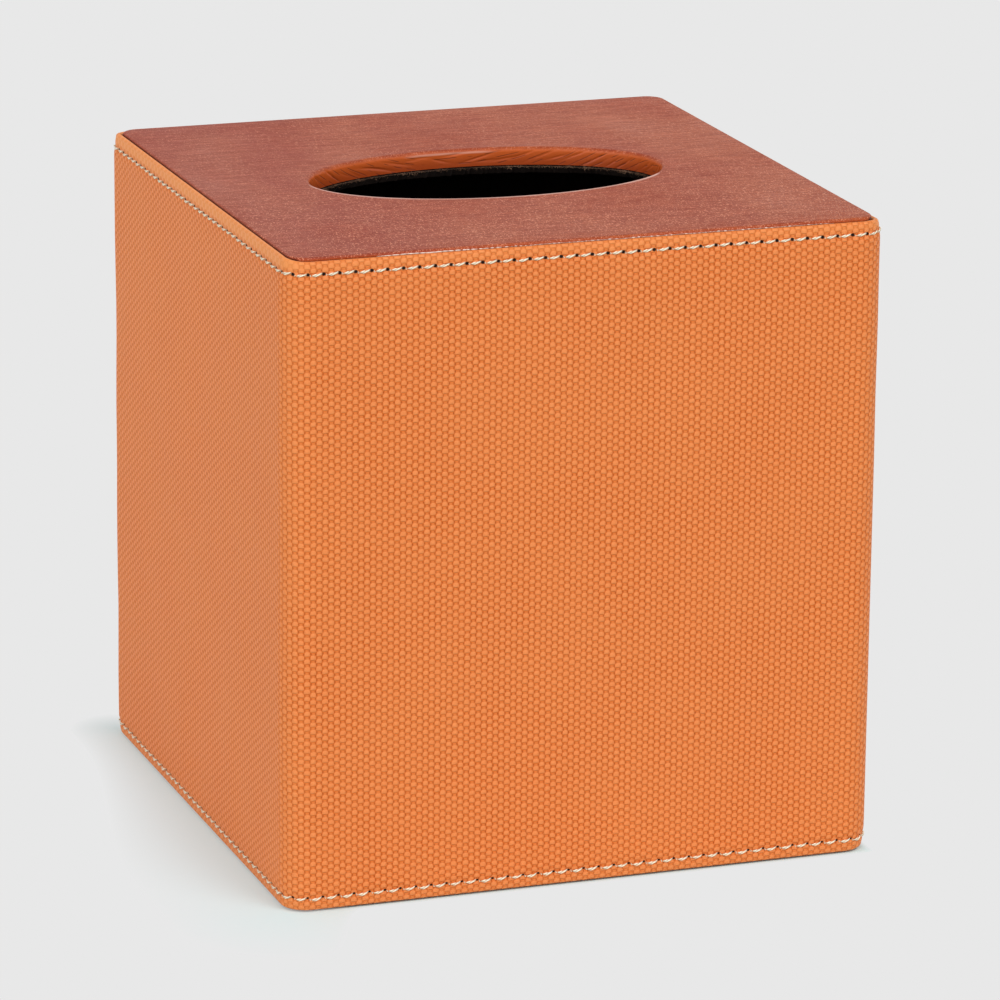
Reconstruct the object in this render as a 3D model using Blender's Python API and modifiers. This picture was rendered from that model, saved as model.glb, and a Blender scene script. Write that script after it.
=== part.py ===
"""Cube tissue box cover: a mitred board box in a sewn leatherette sleeve.

The top has an oval mouth for the tissues. Underneath, a flap hangs on a leatherette strip along
the back wall and is held shut by small bar magnets, so that a cube box of tissues can be put in.

Lengths are in metres. +Z is up, the front faces -Y, and the origin is the middle of the foot.
A place in a wall is given by its inset, the distance inward from the outermost face.
"""

import math

import bmesh
import bpy
from mathutils import Matrix, Vector

# Overall
SIDE = 0.134
HEIGHT = 0.142
CORNER_RADIUS = 0.006
CLEARANCE = 0.0003
LEAST_RADIUS = 0.0003
CUT_OVERRUN = 0.002

# Sheet leatherette, as it comes off the roll
SHEET = 0.0007

# Sleeve
HEM = 0.010
SEAM_GAP = 0.0004
SLEEVE_FOOT_GAP = 0.0004
TOP_PROUD = 0.0006

# Boards
WALL_BOARD = 0.004
TOP_BOARD = 0.003
FLAP_BOARD = 0.0025

# Top skin
TOP_EDGE_RADIUS = 0.001
TOP_TURN_DOWN = 0.008
MOUTH_LENGTH = 0.080
MOUTH_WIDTH = 0.0465
LIP_RADIUS = 0.0008

# Velvet
LINER = 0.0025
TOP_LINING = 0.0015
LINING_STEP_IN = 0.0007
FLAP_LINING = 0.001
FLAP_LINING_MARGIN = 0.0015

# Foot binding
BINDING_OUTER_LEG = 0.007
BINDING_RADIUS = 0.001
BINDING_INNER_CORNER = 0.0004

# Flap and its hinge strip
FLAP_LIFT = 0.0005
FLAP_CLEARANCE = 0.0006
FLAP_CORNER_RADIUS = 0.003
FLAP_EDGE_RADIUS = 0.0009
FINGER_NOTCH_RADIUS = 0.009
FLAP_LEAF_WIDTH = 0.012
WALL_LEAF_REACH = 0.015
STRIP_END_MARGIN = 0.008

# Bar magnets
MAGNET_LENGTH = 0.008
MAGNET_DEPTH = 0.002
MAGNET_HEIGHT = 0.0015
MAGNET_FROM_CORNER = 0.018

# How finely curves are divided
CORNER_STEPS = 5
EDGE_STEPS = 4
SIDE_STEPS = 6
NOTCH_STEPS = 10

# Insets of the layers, from the outermost face inward
HEM_INSET = SHEET + CLEARANCE
SKIN_INSET = HEM_INSET + SHEET + CLEARANCE
BOARD_INSET = SKIN_INSET + SHEET + CLEARANCE
INNER_INSET = BOARD_INSET + WALL_BOARD
BINDING_INSET = INNER_INSET + CLEARANCE + SHEET
LINER_INSET = INNER_INSET + CLEARANCE + LINER

# Heights of the layers, from the top down and from the foot up
TOP_BOARD_TOP = HEIGHT - SHEET - CLEARANCE
TOP_BOARD_FOOT = TOP_BOARD_TOP - TOP_BOARD
WALL_TOP = TOP_BOARD_FOOT - CLEARANCE
TOP_LINING_FOOT = WALL_TOP - TOP_LINING
LINER_TOP = TOP_LINING_FOOT - CLEARANCE
WALL_FOOT = SHEET + CLEARANCE
FLAP_COVER_FOOT = FLAP_LIFT + SHEET + CLEARANCE
FLAP_BOARD_FOOT = FLAP_COVER_FOOT + SHEET + CLEARANCE
FLAP_BOARD_TOP = FLAP_BOARD_FOOT + FLAP_BOARD
FLAP_LINING_FOOT = FLAP_BOARD_TOP + CLEARANCE
FLAP_TOP = FLAP_LINING_FOOT + FLAP_LINING
LINER_FOOT = FLAP_TOP + CLEARANCE
BINDING_INNER_TOP = LINER_FOOT - SHEET - CLEARANCE

# The flap in plan, and the fold line that it turns on
FLAP_HALF = SIDE / 2 - BINDING_INSET - FLAP_CLEARANCE
LEAF_BACK_Y = SIDE / 2 - BINDING_INSET - CLEARANCE
FOLD_Y = LEAF_BACK_Y - SHEET / 2
FLAP_BACK_Y = LEAF_BACK_Y - SHEET - FLAP_CLEARANCE
STRIP_HALF = SIDE / 2 - LINER_INSET - STRIP_END_MARGIN

PIECES = "tissue_box_cover"
CUTTERS = "cutters"
FLAP_AXIS = "flap_axis"
QUARTER_TURN = math.radians(90)
WALLS = ("back", "left", "front", "right")


def clear_scene():
    """Take every object out of the scene."""
    for item in list(bpy.data.objects):
        bpy.data.objects.remove(item, do_unlink=True)


def new_collection(name):
    """A collection of that name, linked into the scene."""
    group = bpy.data.collections.new(name)
    bpy.context.scene.collection.children.link(group)
    return group


def make_material(name, colour, roughness, metallic=0.0):
    """A Principled material in one colour."""
    finish = bpy.data.materials.new(name)
    finish.use_nodes = True
    finish.diffuse_color = (*colour, 1.0)
    shader = finish.node_tree.nodes["Principled BSDF"]
    shader.inputs["Base Color"].default_value = (*colour, 1.0)
    shader.inputs["Roughness"].default_value = roughness
    shader.inputs["Metallic"].default_value = metallic
    return finish


def make_materials():
    """Every finish of the cover, by name."""
    return {
        "sleeve": make_material("embossed_leatherette", (0.83, 0.27, 0.075), 0.45),
        "skin": make_material("smooth_leatherette", (0.42, 0.10, 0.035), 0.35),
        "board": make_material("fibreboard", (0.42, 0.28, 0.16), 0.85),
        "foam": make_material("foam", (0.72, 0.70, 0.64), 0.95),
        "velvet": make_material("velvet", (0.022, 0.014, 0.010), 1.0),
        "magnet": make_material("nickel_plate", (0.70, 0.69, 0.66), 0.3, 1.0),
    }


# Outlines and profiles

def corner_radius(inset):
    """Radius of the upright corner of a layer at that inset."""
    return max(CORNER_RADIUS - inset, LEAST_RADIUS)


def inner_corner_radius(inset):
    """Radius of the upright corner of a layer that turns inside the walls."""
    return BINDING_INNER_CORNER + max(BINDING_INSET - inset, 0)


def square_ring(inset, radius, side_steps=1):
    """Points round a square with round corners, clockwise from above.

    They start at the middle of the back. Each quarter goes to the middle of the next side.
    """
    half = SIDE / 2 - inset
    straight = half - radius
    quarter = [(straight * step / side_steps, half) for step in range(side_steps)]
    for step in range(CORNER_STEPS + 1):
        angle = QUARTER_TURN * (1 - step / CORNER_STEPS)
        quarter.append((straight + radius * math.cos(angle), straight + radius * math.sin(angle)))
    quarter += [(half, straight * (1 - step / side_steps)) for step in range(1, side_steps)]
    ring = []
    for turn in range(len(WALLS)):
        spin = Matrix.Rotation(-QUARTER_TURN * turn, 2)
        ring += [spin @ Vector(point) for point in quarter]
    return ring


def oval_ring(half_length, half_width, count):
    """Points round an oval, clockwise from above, from the middle of its back."""
    angles = [math.tau * step / count for step in range(count)]
    return [Vector((half_length * math.sin(angle), half_width * math.cos(angle))) for angle in angles]


def mouth_ring(growth, count):
    """Points round the oval mouth, made larger by that growth all round."""
    return oval_ring(MOUTH_LENGTH / 2 + growth, MOUTH_WIDTH / 2 + growth, count)


def arc(centre, radius, start, end, steps=EDGE_STEPS):
    """Points on an arc, with its angles in quarter turns."""
    points = []
    for step in range(steps + 1):
        angle = QUARTER_TURN * (start + (end - start) * step / steps)
        points.append((centre[0] + radius * math.cos(angle), centre[1] + radius * math.sin(angle)))
    return points


def raise_ring(ring, z):
    """A flat ring of points, at a height."""
    return [Vector((point[0], point[1], z)) for point in ring]


def wall_outline():
    """Plan of the back wall's board, from its inner right corner.

    Its ends are mitred with half a clearance each, and its outer corners are rounded.
    """
    outer = SIDE / 2 - BOARD_INSET
    inner = SIDE / 2 - INNER_INSET
    radius = corner_radius(BOARD_INSET)
    back_off = CLEARANCE * math.sqrt(0.5)
    rounded = arc((outer - radius, outer - radius), radius, 0.5, 1.0)
    right = [(inner - back_off, inner), (rounded[0][0] - back_off, rounded[0][1]), *rounded[1:]]
    left = [(-x, y) for x, y in reversed(right)]
    return right + left


def flap_outline(inset):
    """Plan of the flap at that inset from its edge, clockwise from above, from its back left."""
    half = FLAP_HALF - inset
    back = FLAP_BACK_Y - inset
    radius = FLAP_CORNER_RADIUS - inset
    notch = FINGER_NOTCH_RADIUS + inset
    outline = arc((-half + radius, back - radius), radius, 2, 1)
    outline += arc((half - radius, back - radius), radius, 1, 0)
    outline += arc((half - radius, -half + radius), radius, 0, -1)
    outline += arc((0, -half), notch, 0, 2, NOTCH_STEPS)
    outline += arc((-half + radius, -half + radius), radius, -1, -2)
    return outline


# Ways of making a piece

def add_piece(name, mesh, collection, finish=None):
    """Link a mesh into a collection as an object of that name."""
    piece = bpy.data.objects.new(name, mesh)
    if finish:
        mesh.materials.append(finish)
    collection.objects.link(piece)
    return piece


def flat_piece(name, outlines, z_low, z_high, collection, finish=None):
    """A plate cut to outlines, the later ones being holes, between two heights."""
    curve = bpy.data.curves.new(name, "CURVE")
    curve.dimensions = "2D"
    curve.fill_mode = "BOTH"
    curve.extrude = (z_high - z_low) / 2
    for outline in outlines:
        spline = curve.splines.new("POLY")
        spline.points.add(len(outline) - 1)
        spline.use_cyclic_u = True
        for slot, point in zip(spline.points, outline):
            slot.co = (point[0], point[1], 0, 1)
    sketch = bpy.data.objects.new(name, curve)
    collection.objects.link(sketch)
    evaluated = sketch.evaluated_get(bpy.context.evaluated_depsgraph_get())
    mesh = bpy.data.meshes.new_from_object(evaluated)
    bpy.data.objects.remove(sketch, do_unlink=True)
    bpy.data.curves.remove(curve)
    mesh.name = name
    shape = bmesh.new()
    shape.from_mesh(mesh)
    bmesh.ops.remove_doubles(shape, verts=shape.verts, dist=SHEET / 100)
    shape.to_mesh(mesh)
    shape.free()
    piece = add_piece(name, mesh, collection, finish)
    piece.location.z = (z_low + z_high) / 2
    return piece


def block(name, low, high, collection, finish=None):
    """A plain block between two opposite corners."""
    low = Vector(low)
    high = Vector(high)
    shape = bmesh.new()
    bmesh.ops.create_cube(shape, size=1)
    bmesh.ops.scale(shape, vec=high - low, verts=shape.verts)
    mesh = bpy.data.meshes.new(name)
    shape.to_mesh(mesh)
    shape.free()
    piece = add_piece(name, mesh, collection, finish)
    piece.location = (low + high) / 2
    return piece


def loft(name, rows, collection, finish, closed=True, floor=False):
    """An open sheet through rows of points. A floor closes it under its last row."""
    shape = bmesh.new()
    verts = [[shape.verts.new(point) for point in row] for row in rows]
    for upper, lower in zip(verts, verts[1:]):
        count = len(upper)
        for step in range(count if closed else count - 1):
            following = (step + 1) % count
            shape.faces.new((upper[step], upper[following], lower[following], lower[step]))
    if floor:
        shape.faces.new(verts[-1])
    mesh = bpy.data.meshes.new(name)
    shape.to_mesh(mesh)
    shape.free()
    return add_piece(name, mesh, collection, finish)


def thicken(piece, thickness, offset=-1):
    """Give a sheet its thickness, behind its face unless the offset says otherwise."""
    wall = piece.modifiers.new("thickness", "SOLIDIFY")
    wall.thickness = thickness
    wall.offset = offset
    wall.use_even_offset = True
    return wall


def shade_round(piece):
    """Shade a bent piece smooth and keep its real edges."""
    piece.data.shade_smooth()
    piece.data.set_sharp_from_angle(angle=QUARTER_TURN / 2)


def cut(piece, cutter):
    """Take a cutter's shape out of a piece."""
    cutter.hide_render = True
    cutter.display_type = "WIRE"
    hole = piece.modifiers.new("cut_" + cutter.name, "BOOLEAN")
    hole.operation = "DIFFERENCE"
    hole.solver = "EXACT"
    hole.object = cutter


def hang_on(piece, axis):
    """Parent a piece to the joint's empty and leave it where it is."""
    piece.parent = axis
    piece.matrix_parent_inverse = Matrix.Translation(axis.location).inverted()


# Sleeve and foot

def make_sleeve(pieces, finish):
    """The embossed sleeve: one band with folded hems, whose ends meet at the back."""
    fold = HEM_INSET + SHEET
    radius = fold / 2
    top = HEIGHT - TOP_PROUD
    profile = [(fold, top - HEM)]
    profile += arc((radius, top - radius), radius, 0, 2, 2 * EDGE_STEPS)
    profile += arc((radius, SLEEVE_FOOT_GAP + radius), radius, 2, 4, 2 * EDGE_STEPS)
    profile += [(fold, SLEEVE_FOOT_GAP + HEM)]
    rows = []
    for inset, z in profile:
        ring = square_ring(inset, corner_radius(inset))
        back_middle = ring[0]
        start = Vector((SEAM_GAP / 2, back_middle.y))
        end = Vector((-SEAM_GAP / 2, back_middle.y))
        rows.append(raise_ring([start, *ring[1:], end], z))
    sleeve = loft("sleeve", rows, pieces, finish, closed=False)
    thicken(sleeve, SHEET)
    shade_round(sleeve)


def make_padding(pieces, finish):
    """Thin foam between the two hems of the sleeve, round the wall boards."""
    outer = square_ring(HEM_INSET, corner_radius(HEM_INSET))
    inner_inset = BOARD_INSET - CLEARANCE
    inner = square_ring(inner_inset, corner_radius(inner_inset))
    low = max(SLEEVE_FOOT_GAP + HEM, BINDING_OUTER_LEG) + CLEARANCE
    high = min(HEIGHT - TOP_PROUD - HEM, HEIGHT - TOP_TURN_DOWN) - CLEARANCE
    flat_piece("sleeve_padding", [outer, inner], low, high, pieces, finish)


def make_foot_binding(pieces, finish):
    """The strip folded round the bottom edge of the wall boards, which the cover stands on."""
    radius = BINDING_RADIUS
    outside = [(SKIN_INSET, BINDING_OUTER_LEG)]
    outside += arc((SKIN_INSET + radius, radius), radius, 2, 3)
    inside = arc((BINDING_INSET - radius, radius), radius, 3, 4)
    inside += [(BINDING_INSET, BINDING_INNER_TOP)]
    rows = [raise_ring(square_ring(inset, corner_radius(inset)), z) for inset, z in outside]
    rows += [raise_ring(square_ring(inset, inner_corner_radius(inset)), z) for inset, z in inside]
    binding = loft("foot_binding", rows, pieces, finish)
    thicken(binding, SHEET)
    shade_round(binding)


# Boards

def magnet_spans():
    """The two stretches along X that the magnets take up."""
    middle = SIDE / 2 - INNER_INSET - MAGNET_FROM_CORNER
    half = MAGNET_LENGTH / 2
    return {"left": (-middle - half, -middle + half), "right": (middle - half, middle + half)}


def make_wall_boards(pieces, cutters, finish):
    """Four mitred wall boards. The front one has pockets for its magnets."""
    for turn, side in enumerate(WALLS):
        board = flat_piece(side + "_board", [wall_outline()], WALL_FOOT, WALL_TOP, pieces, finish)
        board.rotation_euler.z = QUARTER_TURN * turn
        if side != "front":
            continue
        inner_face = -(SIDE / 2 - INNER_INSET)
        for hand, (start, end) in magnet_spans().items():
            pocket = block(
                "wall_pocket_" + hand,
                (start - CLEARANCE, inner_face - MAGNET_DEPTH - CLEARANCE, magnet_foot() - CLEARANCE),
                (end + CLEARANCE, inner_face + CUT_OVERRUN, FLAP_BOARD_TOP + CLEARANCE),
                cutters,
            )
            cut(board, pocket)


def magnet_foot():
    """Height of the underside of every magnet."""
    return FLAP_BOARD_TOP - MAGNET_HEIGHT


def make_wall_magnets(pieces, finish):
    """The two magnets in the front wall's foot."""
    inner_face = -(SIDE / 2 - INNER_INSET)
    for hand, (start, end) in magnet_spans().items():
        low = (start, inner_face - MAGNET_DEPTH, magnet_foot())
        block("wall_magnet_" + hand, low, (end, inner_face, FLAP_BOARD_TOP), pieces, finish)


def make_top_board(pieces, finish):
    """The board on top of the walls, with the oval hole."""
    outer = square_ring(BOARD_INSET, corner_radius(BOARD_INSET), SIDE_STEPS)
    hole = mouth_ring(SHEET + CLEARANCE, len(outer))
    flat_piece("top_board", [outer, hole], TOP_BOARD_FOOT, TOP_BOARD_TOP, pieces, finish)


def make_top_skin(pieces, finish):
    """The smooth skin over the top, turned down outside and into the mouth."""
    edge = TOP_EDGE_RADIUS
    count = len(square_ring(SKIN_INSET, corner_radius(SKIN_INSET), SIDE_STEPS))
    rows = [raise_ring(mouth_ring(0, count), TOP_BOARD_FOOT)]
    for growth, z in arc((LIP_RADIUS, HEIGHT - LIP_RADIUS), LIP_RADIUS, 2, 1):
        rows.append(raise_ring(mouth_ring(growth, count), z))
    outside = arc((SKIN_INSET + edge, HEIGHT - edge), edge, 1, 2)
    outside.append((SKIN_INSET, HEIGHT - TOP_TURN_DOWN))
    for inset, z in outside:
        rows.append(raise_ring(square_ring(inset, corner_radius(inset), SIDE_STEPS), z))
    skin = loft("top_skin", rows, pieces, finish)
    thicken(skin, SHEET)
    shade_round(skin)


# Velvet

def make_top_lining(pieces, finish):
    """The velvet sheet under the top board. Its hole shows a narrow edge below the lip."""
    inset = INNER_INSET + CLEARANCE
    outer = square_ring(inset, LEAST_RADIUS, SIDE_STEPS)
    hole = mouth_ring(-LINING_STEP_IN, len(outer))
    flat_piece("top_lining", [outer, hole], TOP_LINING_FOOT, WALL_TOP, pieces, finish)


def make_wall_liners(pieces, cutters, finish):
    """Velvet-covered liners. The back one is cut away behind for the hinge strip."""
    face = SIDE / 2 - LINER_INSET
    back = face + LINER
    for side, sign in (("back", 1), ("front", -1)):
        near, far = sorted((sign * face, sign * back))
        low = (-back, near, LINER_FOOT)
        liner = block(side + "_liner", low, (back, far, LINER_TOP), pieces, finish)
        if side == "back":
            cut(liner, make_strip_recess(cutters, back))
    reach = face - CLEARANCE
    for side, sign in (("right", 1), ("left", -1)):
        near, far = sorted((sign * face, sign * back))
        block(side + "_liner", (near, -reach, LINER_FOOT), (far, reach, LINER_TOP), pieces, finish)


def make_strip_recess(cutters, liner_back):
    """The space behind the back liner that the hinge strip runs up in."""
    strip_front = FOLD_Y + SHEET - SHEET * math.sqrt(0.5)
    low = (-STRIP_HALF - CLEARANCE, strip_front - CLEARANCE, LINER_FOOT - CUT_OVERRUN)
    high = (STRIP_HALF + CLEARANCE, liner_back + CUT_OVERRUN, WALL_LEAF_REACH + CLEARANCE)
    return block("strip_recess", low, high, cutters)


# Flap

def make_wall_leaf(pieces, finish):
    """The wall's half of the hinge strip, from the fold up behind the back liner."""
    step = SHEET + CLEARANCE
    bend = BINDING_INNER_TOP + CLEARANCE
    path = [(FOLD_Y, FLAP_LIFT), (FOLD_Y, bend), (FOLD_Y + step, bend + step)]
    path.append((FOLD_Y + step, WALL_LEAF_REACH))
    rows = [[Vector((x, y, z)) for y, z in path] for x in (-STRIP_HALF, STRIP_HALF)]
    leaf = loft("wall_hinge_leaf", rows, pieces, finish, closed=False)
    thicken(leaf, SHEET, offset=0)


def make_flap_leaf(pieces, axis, finish):
    """The flap's half of the hinge strip, flat under the flap's back edge."""
    back = LEAF_BACK_Y - SHEET - CLEARANCE
    low = (-STRIP_HALF, back - FLAP_LEAF_WIDTH, FLAP_LIFT)
    leaf = block("flap_hinge_leaf", low, (STRIP_HALF, back, FLAP_LIFT + SHEET), pieces, finish)
    hang_on(leaf, axis)


def make_flap_cover(pieces, axis, finish):
    """The leatherette under the flap, turned up round its edges."""
    rounded = arc((FLAP_EDGE_RADIUS, FLAP_COVER_FOOT + FLAP_EDGE_RADIUS), FLAP_EDGE_RADIUS, 2, 3)
    profile = [(0, FLAP_BOARD_TOP), *rounded]
    rows = [raise_ring(flap_outline(inset), z) for inset, z in profile]
    cover = loft("flap_cover", rows, pieces, finish, floor=True)
    thicken(cover, SHEET)
    shade_round(cover)
    hang_on(cover, axis)


def make_flap_board(pieces, cutters, axis, finish):
    """The flap's board, with open pockets for the magnets in its front edge."""
    inset = SHEET + CLEARANCE
    outline = flap_outline(inset)
    board = flat_piece("flap_board", [outline], FLAP_BOARD_FOOT, FLAP_BOARD_TOP, pieces, finish)
    edge = -FLAP_HALF + inset
    for hand, (start, end) in magnet_spans().items():
        pocket = block(
            "flap_pocket_" + hand,
            (start - CLEARANCE, edge - CUT_OVERRUN, magnet_foot() - CLEARANCE),
            (end + CLEARANCE, edge + MAGNET_DEPTH + CLEARANCE, FLAP_BOARD_TOP + CUT_OVERRUN),
            cutters,
        )
        cut(board, pocket)
        hang_on(pocket, axis)
    hang_on(board, axis)


def make_flap_magnets(pieces, axis, finish):
    """The two magnets in the flap's front edge."""
    edge = -FLAP_HALF + SHEET + CLEARANCE
    for hand, (start, end) in magnet_spans().items():
        high = (end, edge + MAGNET_DEPTH, FLAP_BOARD_TOP)
        magnet = block("flap_magnet_" + hand, (start, edge, magnet_foot()), high, pieces, finish)
        hang_on(magnet, axis)


def make_flap_lining(pieces, axis, finish):
    """The velvet that the box of tissues stands on."""
    outline = flap_outline(FLAP_LINING_MARGIN)
    lining = flat_piece("flap_lining", [outline], FLAP_LINING_FOOT, FLAP_TOP, pieces, finish)
    hang_on(lining, axis)


def make_flap_axis(pieces):
    """The fold line at the back, which the flap swings down on."""
    axis = bpy.data.objects.new(FLAP_AXIS, None)
    axis.empty_display_type = "SINGLE_ARROW"
    axis.location = (0, FOLD_Y, 0)
    pieces.objects.link(axis)
    return axis


def main():
    """Build the cover."""
    clear_scene()
    pieces = new_collection(PIECES)
    cutters = new_collection(CUTTERS)
    finishes = make_materials()
    make_sleeve(pieces, finishes["sleeve"])
    make_padding(pieces, finishes["foam"])
    make_foot_binding(pieces, finishes["skin"])
    make_wall_boards(pieces, cutters, finishes["board"])
    make_wall_magnets(pieces, finishes["magnet"])
    make_top_board(pieces, finishes["board"])
    make_top_skin(pieces, finishes["skin"])
    make_top_lining(pieces, finishes["velvet"])
    make_wall_liners(pieces, cutters, finishes["velvet"])
    make_wall_leaf(pieces, finishes["skin"])
    axis = make_flap_axis(pieces)
    make_flap_leaf(pieces, axis, finishes["skin"])
    make_flap_cover(pieces, axis, finishes["skin"])
    make_flap_board(pieces, cutters, axis, finishes["board"])
    make_flap_magnets(pieces, axis, finishes["magnet"])
    make_flap_lining(pieces, axis, finishes["velvet"])


main()
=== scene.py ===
"""The finished look of a tissue box cover: a sewn leatherette sleeve round a board box with an oval mouth.

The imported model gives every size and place. Fine surfaces, threads, nap and finishes are made here.
"""

import logging
import math
from dataclasses import dataclass
from enum import Enum
from typing import Callable, Sequence

import bpy
import numpy as np
from mathutils import Matrix, Vector


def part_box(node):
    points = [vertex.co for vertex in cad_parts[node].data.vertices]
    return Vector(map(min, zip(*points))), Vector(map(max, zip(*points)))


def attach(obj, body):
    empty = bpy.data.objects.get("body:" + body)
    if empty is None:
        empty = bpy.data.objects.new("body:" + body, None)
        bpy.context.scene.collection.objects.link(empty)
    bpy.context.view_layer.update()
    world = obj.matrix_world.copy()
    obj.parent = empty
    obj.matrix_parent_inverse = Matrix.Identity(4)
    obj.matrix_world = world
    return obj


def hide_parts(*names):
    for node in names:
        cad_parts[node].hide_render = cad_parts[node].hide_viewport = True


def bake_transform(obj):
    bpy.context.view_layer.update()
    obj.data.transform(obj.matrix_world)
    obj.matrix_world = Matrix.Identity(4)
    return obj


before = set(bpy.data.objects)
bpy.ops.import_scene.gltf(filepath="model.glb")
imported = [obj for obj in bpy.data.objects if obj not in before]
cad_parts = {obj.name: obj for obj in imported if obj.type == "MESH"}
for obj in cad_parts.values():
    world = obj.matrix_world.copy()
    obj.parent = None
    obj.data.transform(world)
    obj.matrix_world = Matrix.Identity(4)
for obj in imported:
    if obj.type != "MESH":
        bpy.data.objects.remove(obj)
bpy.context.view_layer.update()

MM = 0.001
TURN = math.tau
QUARTER = TURN / 4
WELD = 0.001 * MM
WRAP = "wrap"
# The sheet's stretch. The same mark also carries painted light and shade: sheen on the sleeve's sides, light
# on the leatherette's bends and shade in the thread's grooves.
STRETCH_AND_LIGHT = "stretch_and_light"
# Painted highlights along the mouth's near rim and high on the far lip.
RIM_HIGHLIGHT = "rim"
log = logging.getLogger("tissue_box_cover")

Array = np.ndarray
Colour = tuple[float, float, float, float]
Material = bpy.types.Material
Piece = bpy.types.Object
Placing = Callable[[Array, Array], Array]
Sockets = dict[str | int, object]


class Body(Enum):
    """The two bodies of the cover that pieces ride on."""

    COVER = "cover"
    FLAP = "flap"


# Colours and smooth unevenness


def tone(red: int, green: int, blue: int) -> Colour:
    """A screen colour as the linear values that a shader takes.

    Args:
        red: Red as a screen shows it, 0 to 255.
        green: Green, likewise.
        blue: Blue, likewise.

    Returns:
        The linear colour, with full alpha.
    """
    shown = np.array([red, green, blue]) / 255
    linear = np.where(shown <= 0.04045, shown / 12.92, ((shown + 0.055) / 1.055) ** 2.4)
    return (*linear.tolist(), 1.0)


def ripples(points: Array, wavelength: float, seed: int, waves: int = 14) -> Array:
    """Smooth unevenness, as a sum of waves that run in random directions.

    Args:
        points: Places in metres, one row each.
        wavelength: The typical distance between two crests.
        seed: Fixes the directions and phases.
        waves: How many waves are summed.

    Returns:
        One value for each point, mostly between -1 and 1.
    """
    draw = np.random.default_rng(seed)
    directions = draw.normal(size=(waves, points.shape[1]))
    directions /= np.linalg.norm(directions, axis=1)[:, None]
    lengths = wavelength * draw.uniform(0.7, 1.6, waves)
    phases = draw.uniform(0, TURN, waves)
    heights = np.sin(points @ (directions / lengths[:, None]).T * TURN + phases)
    return heights.sum(axis=1) / math.sqrt(waves)


def ease(value: Array, low: float, high: float) -> Array:
    """A smooth step from 0 at low to 1 at high."""
    share = np.clip((value - low) / (high - low), 0, 1)
    return share * share * (3 - 2 * share)


# Plans that the pieces follow


@dataclass(frozen=True)
class Plan:
    """A square with round corners, walked from the middle of the back by way of the left-hand side."""

    half: float
    radius: float
    least_radius: float = 0.4 * MM

    @property
    def length(self) -> float:
        """The way round at no inset."""
        return 8 * (self.half - self.radius) + TURN * self.radius

    def walk(self, along: Array, inset: Array | float = 0.0) -> Array:
        """Places on the plan.

        Args:
            along: Distance walked at no inset.
            inset: How far inside the plan each place lies.

        Returns:
            X and Y of each place.
        """
        quarter = self.length / 4
        straight = self.half - self.radius
        turns, local = np.divmod(along, quarter)
        radius = np.maximum(self.radius - inset, self.least_radius)
        run = self.half - inset - radius
        angle = QUARTER * np.clip((local - straight) / (quarter - 2 * straight), 0, 1)
        x = -run * np.clip(local / straight, 0, 1) - radius * np.sin(angle)
        y = run * (1 - np.clip((local - quarter + straight) / straight, 0, 1)) + radius * np.cos(angle)
        cosine = np.round(np.cos(QUARTER * turns))
        sine = np.round(np.sin(QUARTER * turns))
        return np.stack([x * cosine - y * sine, x * sine + y * cosine], axis=-1)


@dataclass(frozen=True)
class Oval:
    """The mouth in plan, walked the same way as the square."""

    half_length: float
    half_width: float

    def walk(self, share: Array, growth: Array | float = 0.0) -> Array:
        """X and Y at that share of the way round, made larger by the growth.

        Args:
            share: The share of the way round.
            growth: How much larger the oval is, all round.

        Returns:
            X and Y of each place.
        """
        angle = TURN * share
        x = -(self.half_length + growth) * np.sin(angle)
        return np.stack([x, (self.half_width + growth) * np.cos(angle)], axis=-1)

    def reach(self, points: Array, growth: float = 0.0) -> Array:
        """How far out each point lies, where 1 is on the oval with that growth."""
        return np.hypot(points[:, 0] / (self.half_length + growth), points[:, 1] / (self.half_width + growth))


def bow(centre: tuple[float, float], radius: float, start: float, end: float, steps: int) -> list:
    """Points on an arc of a section.

    Args:
        centre: Its middle, as inset and height.
        radius: Its radius.
        start: The first angle in quarter turns, from the inward side towards the top.
        end: The last angle, likewise.
        steps: How many stretches it has.

    Returns:
        Inset and height of each point.
    """
    angles = [QUARTER * (start + (end - start) * step / steps) for step in range(steps + 1)]
    return [(centre[0] + radius * math.cos(a), centre[1] + radius * math.sin(a)) for a in angles]


def runs(start: float, end: float, steps: int) -> list[float]:
    """Evenly spaced values after start, up to end."""
    return [start + (end - start) * step / steps for step in range(1, steps + 1)]


# Ways of making a mesh


def clear_selection() -> None:
    """Leave object mode's selection empty."""
    if bpy.context.object and bpy.context.object.mode != "OBJECT":
        bpy.ops.object.mode_set(mode="OBJECT")
    bpy.ops.object.select_all(action="DESELECT")


def take(piece: Piece) -> None:
    """Make one object the only one selected, and active.

    Args:
        piece: The object.
    """
    clear_selection()
    piece.select_set(True)
    bpy.context.view_layer.objects.active = piece


def modify(piece: Piece, kind: str, **settings: object) -> None:
    """Apply one modifier.

    Args:
        piece: The object.
        kind: The modifier's type.
        settings: Its own settings.
    """
    step = piece.modifiers.new(kind.lower(), kind)
    for name, value in settings.items():
        setattr(step, name, value)
    take(piece)
    bpy.ops.object.modifier_apply(modifier=step.name)


def smooth(piece: Piece, degrees: float) -> None:
    """Shade an object smooth, except over edges sharper than that angle."""
    take(piece)
    bpy.ops.object.shade_smooth_by_angle(angle=math.radians(degrees))


def edit_all(*steps: Callable[[], object]) -> None:
    """Run steps on the whole of the active object's mesh in edit mode.

    Args:
        steps: What is run, in order.
    """
    bpy.ops.object.mode_set(mode="EDIT")
    bpy.ops.mesh.select_all(action="SELECT")
    for step in steps:
        step()
    bpy.ops.object.mode_set(mode="OBJECT")


def face_outwards() -> None:
    """Turn the selected faces outwards."""
    bpy.ops.mesh.normals_make_consistent(inside=False)


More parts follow.
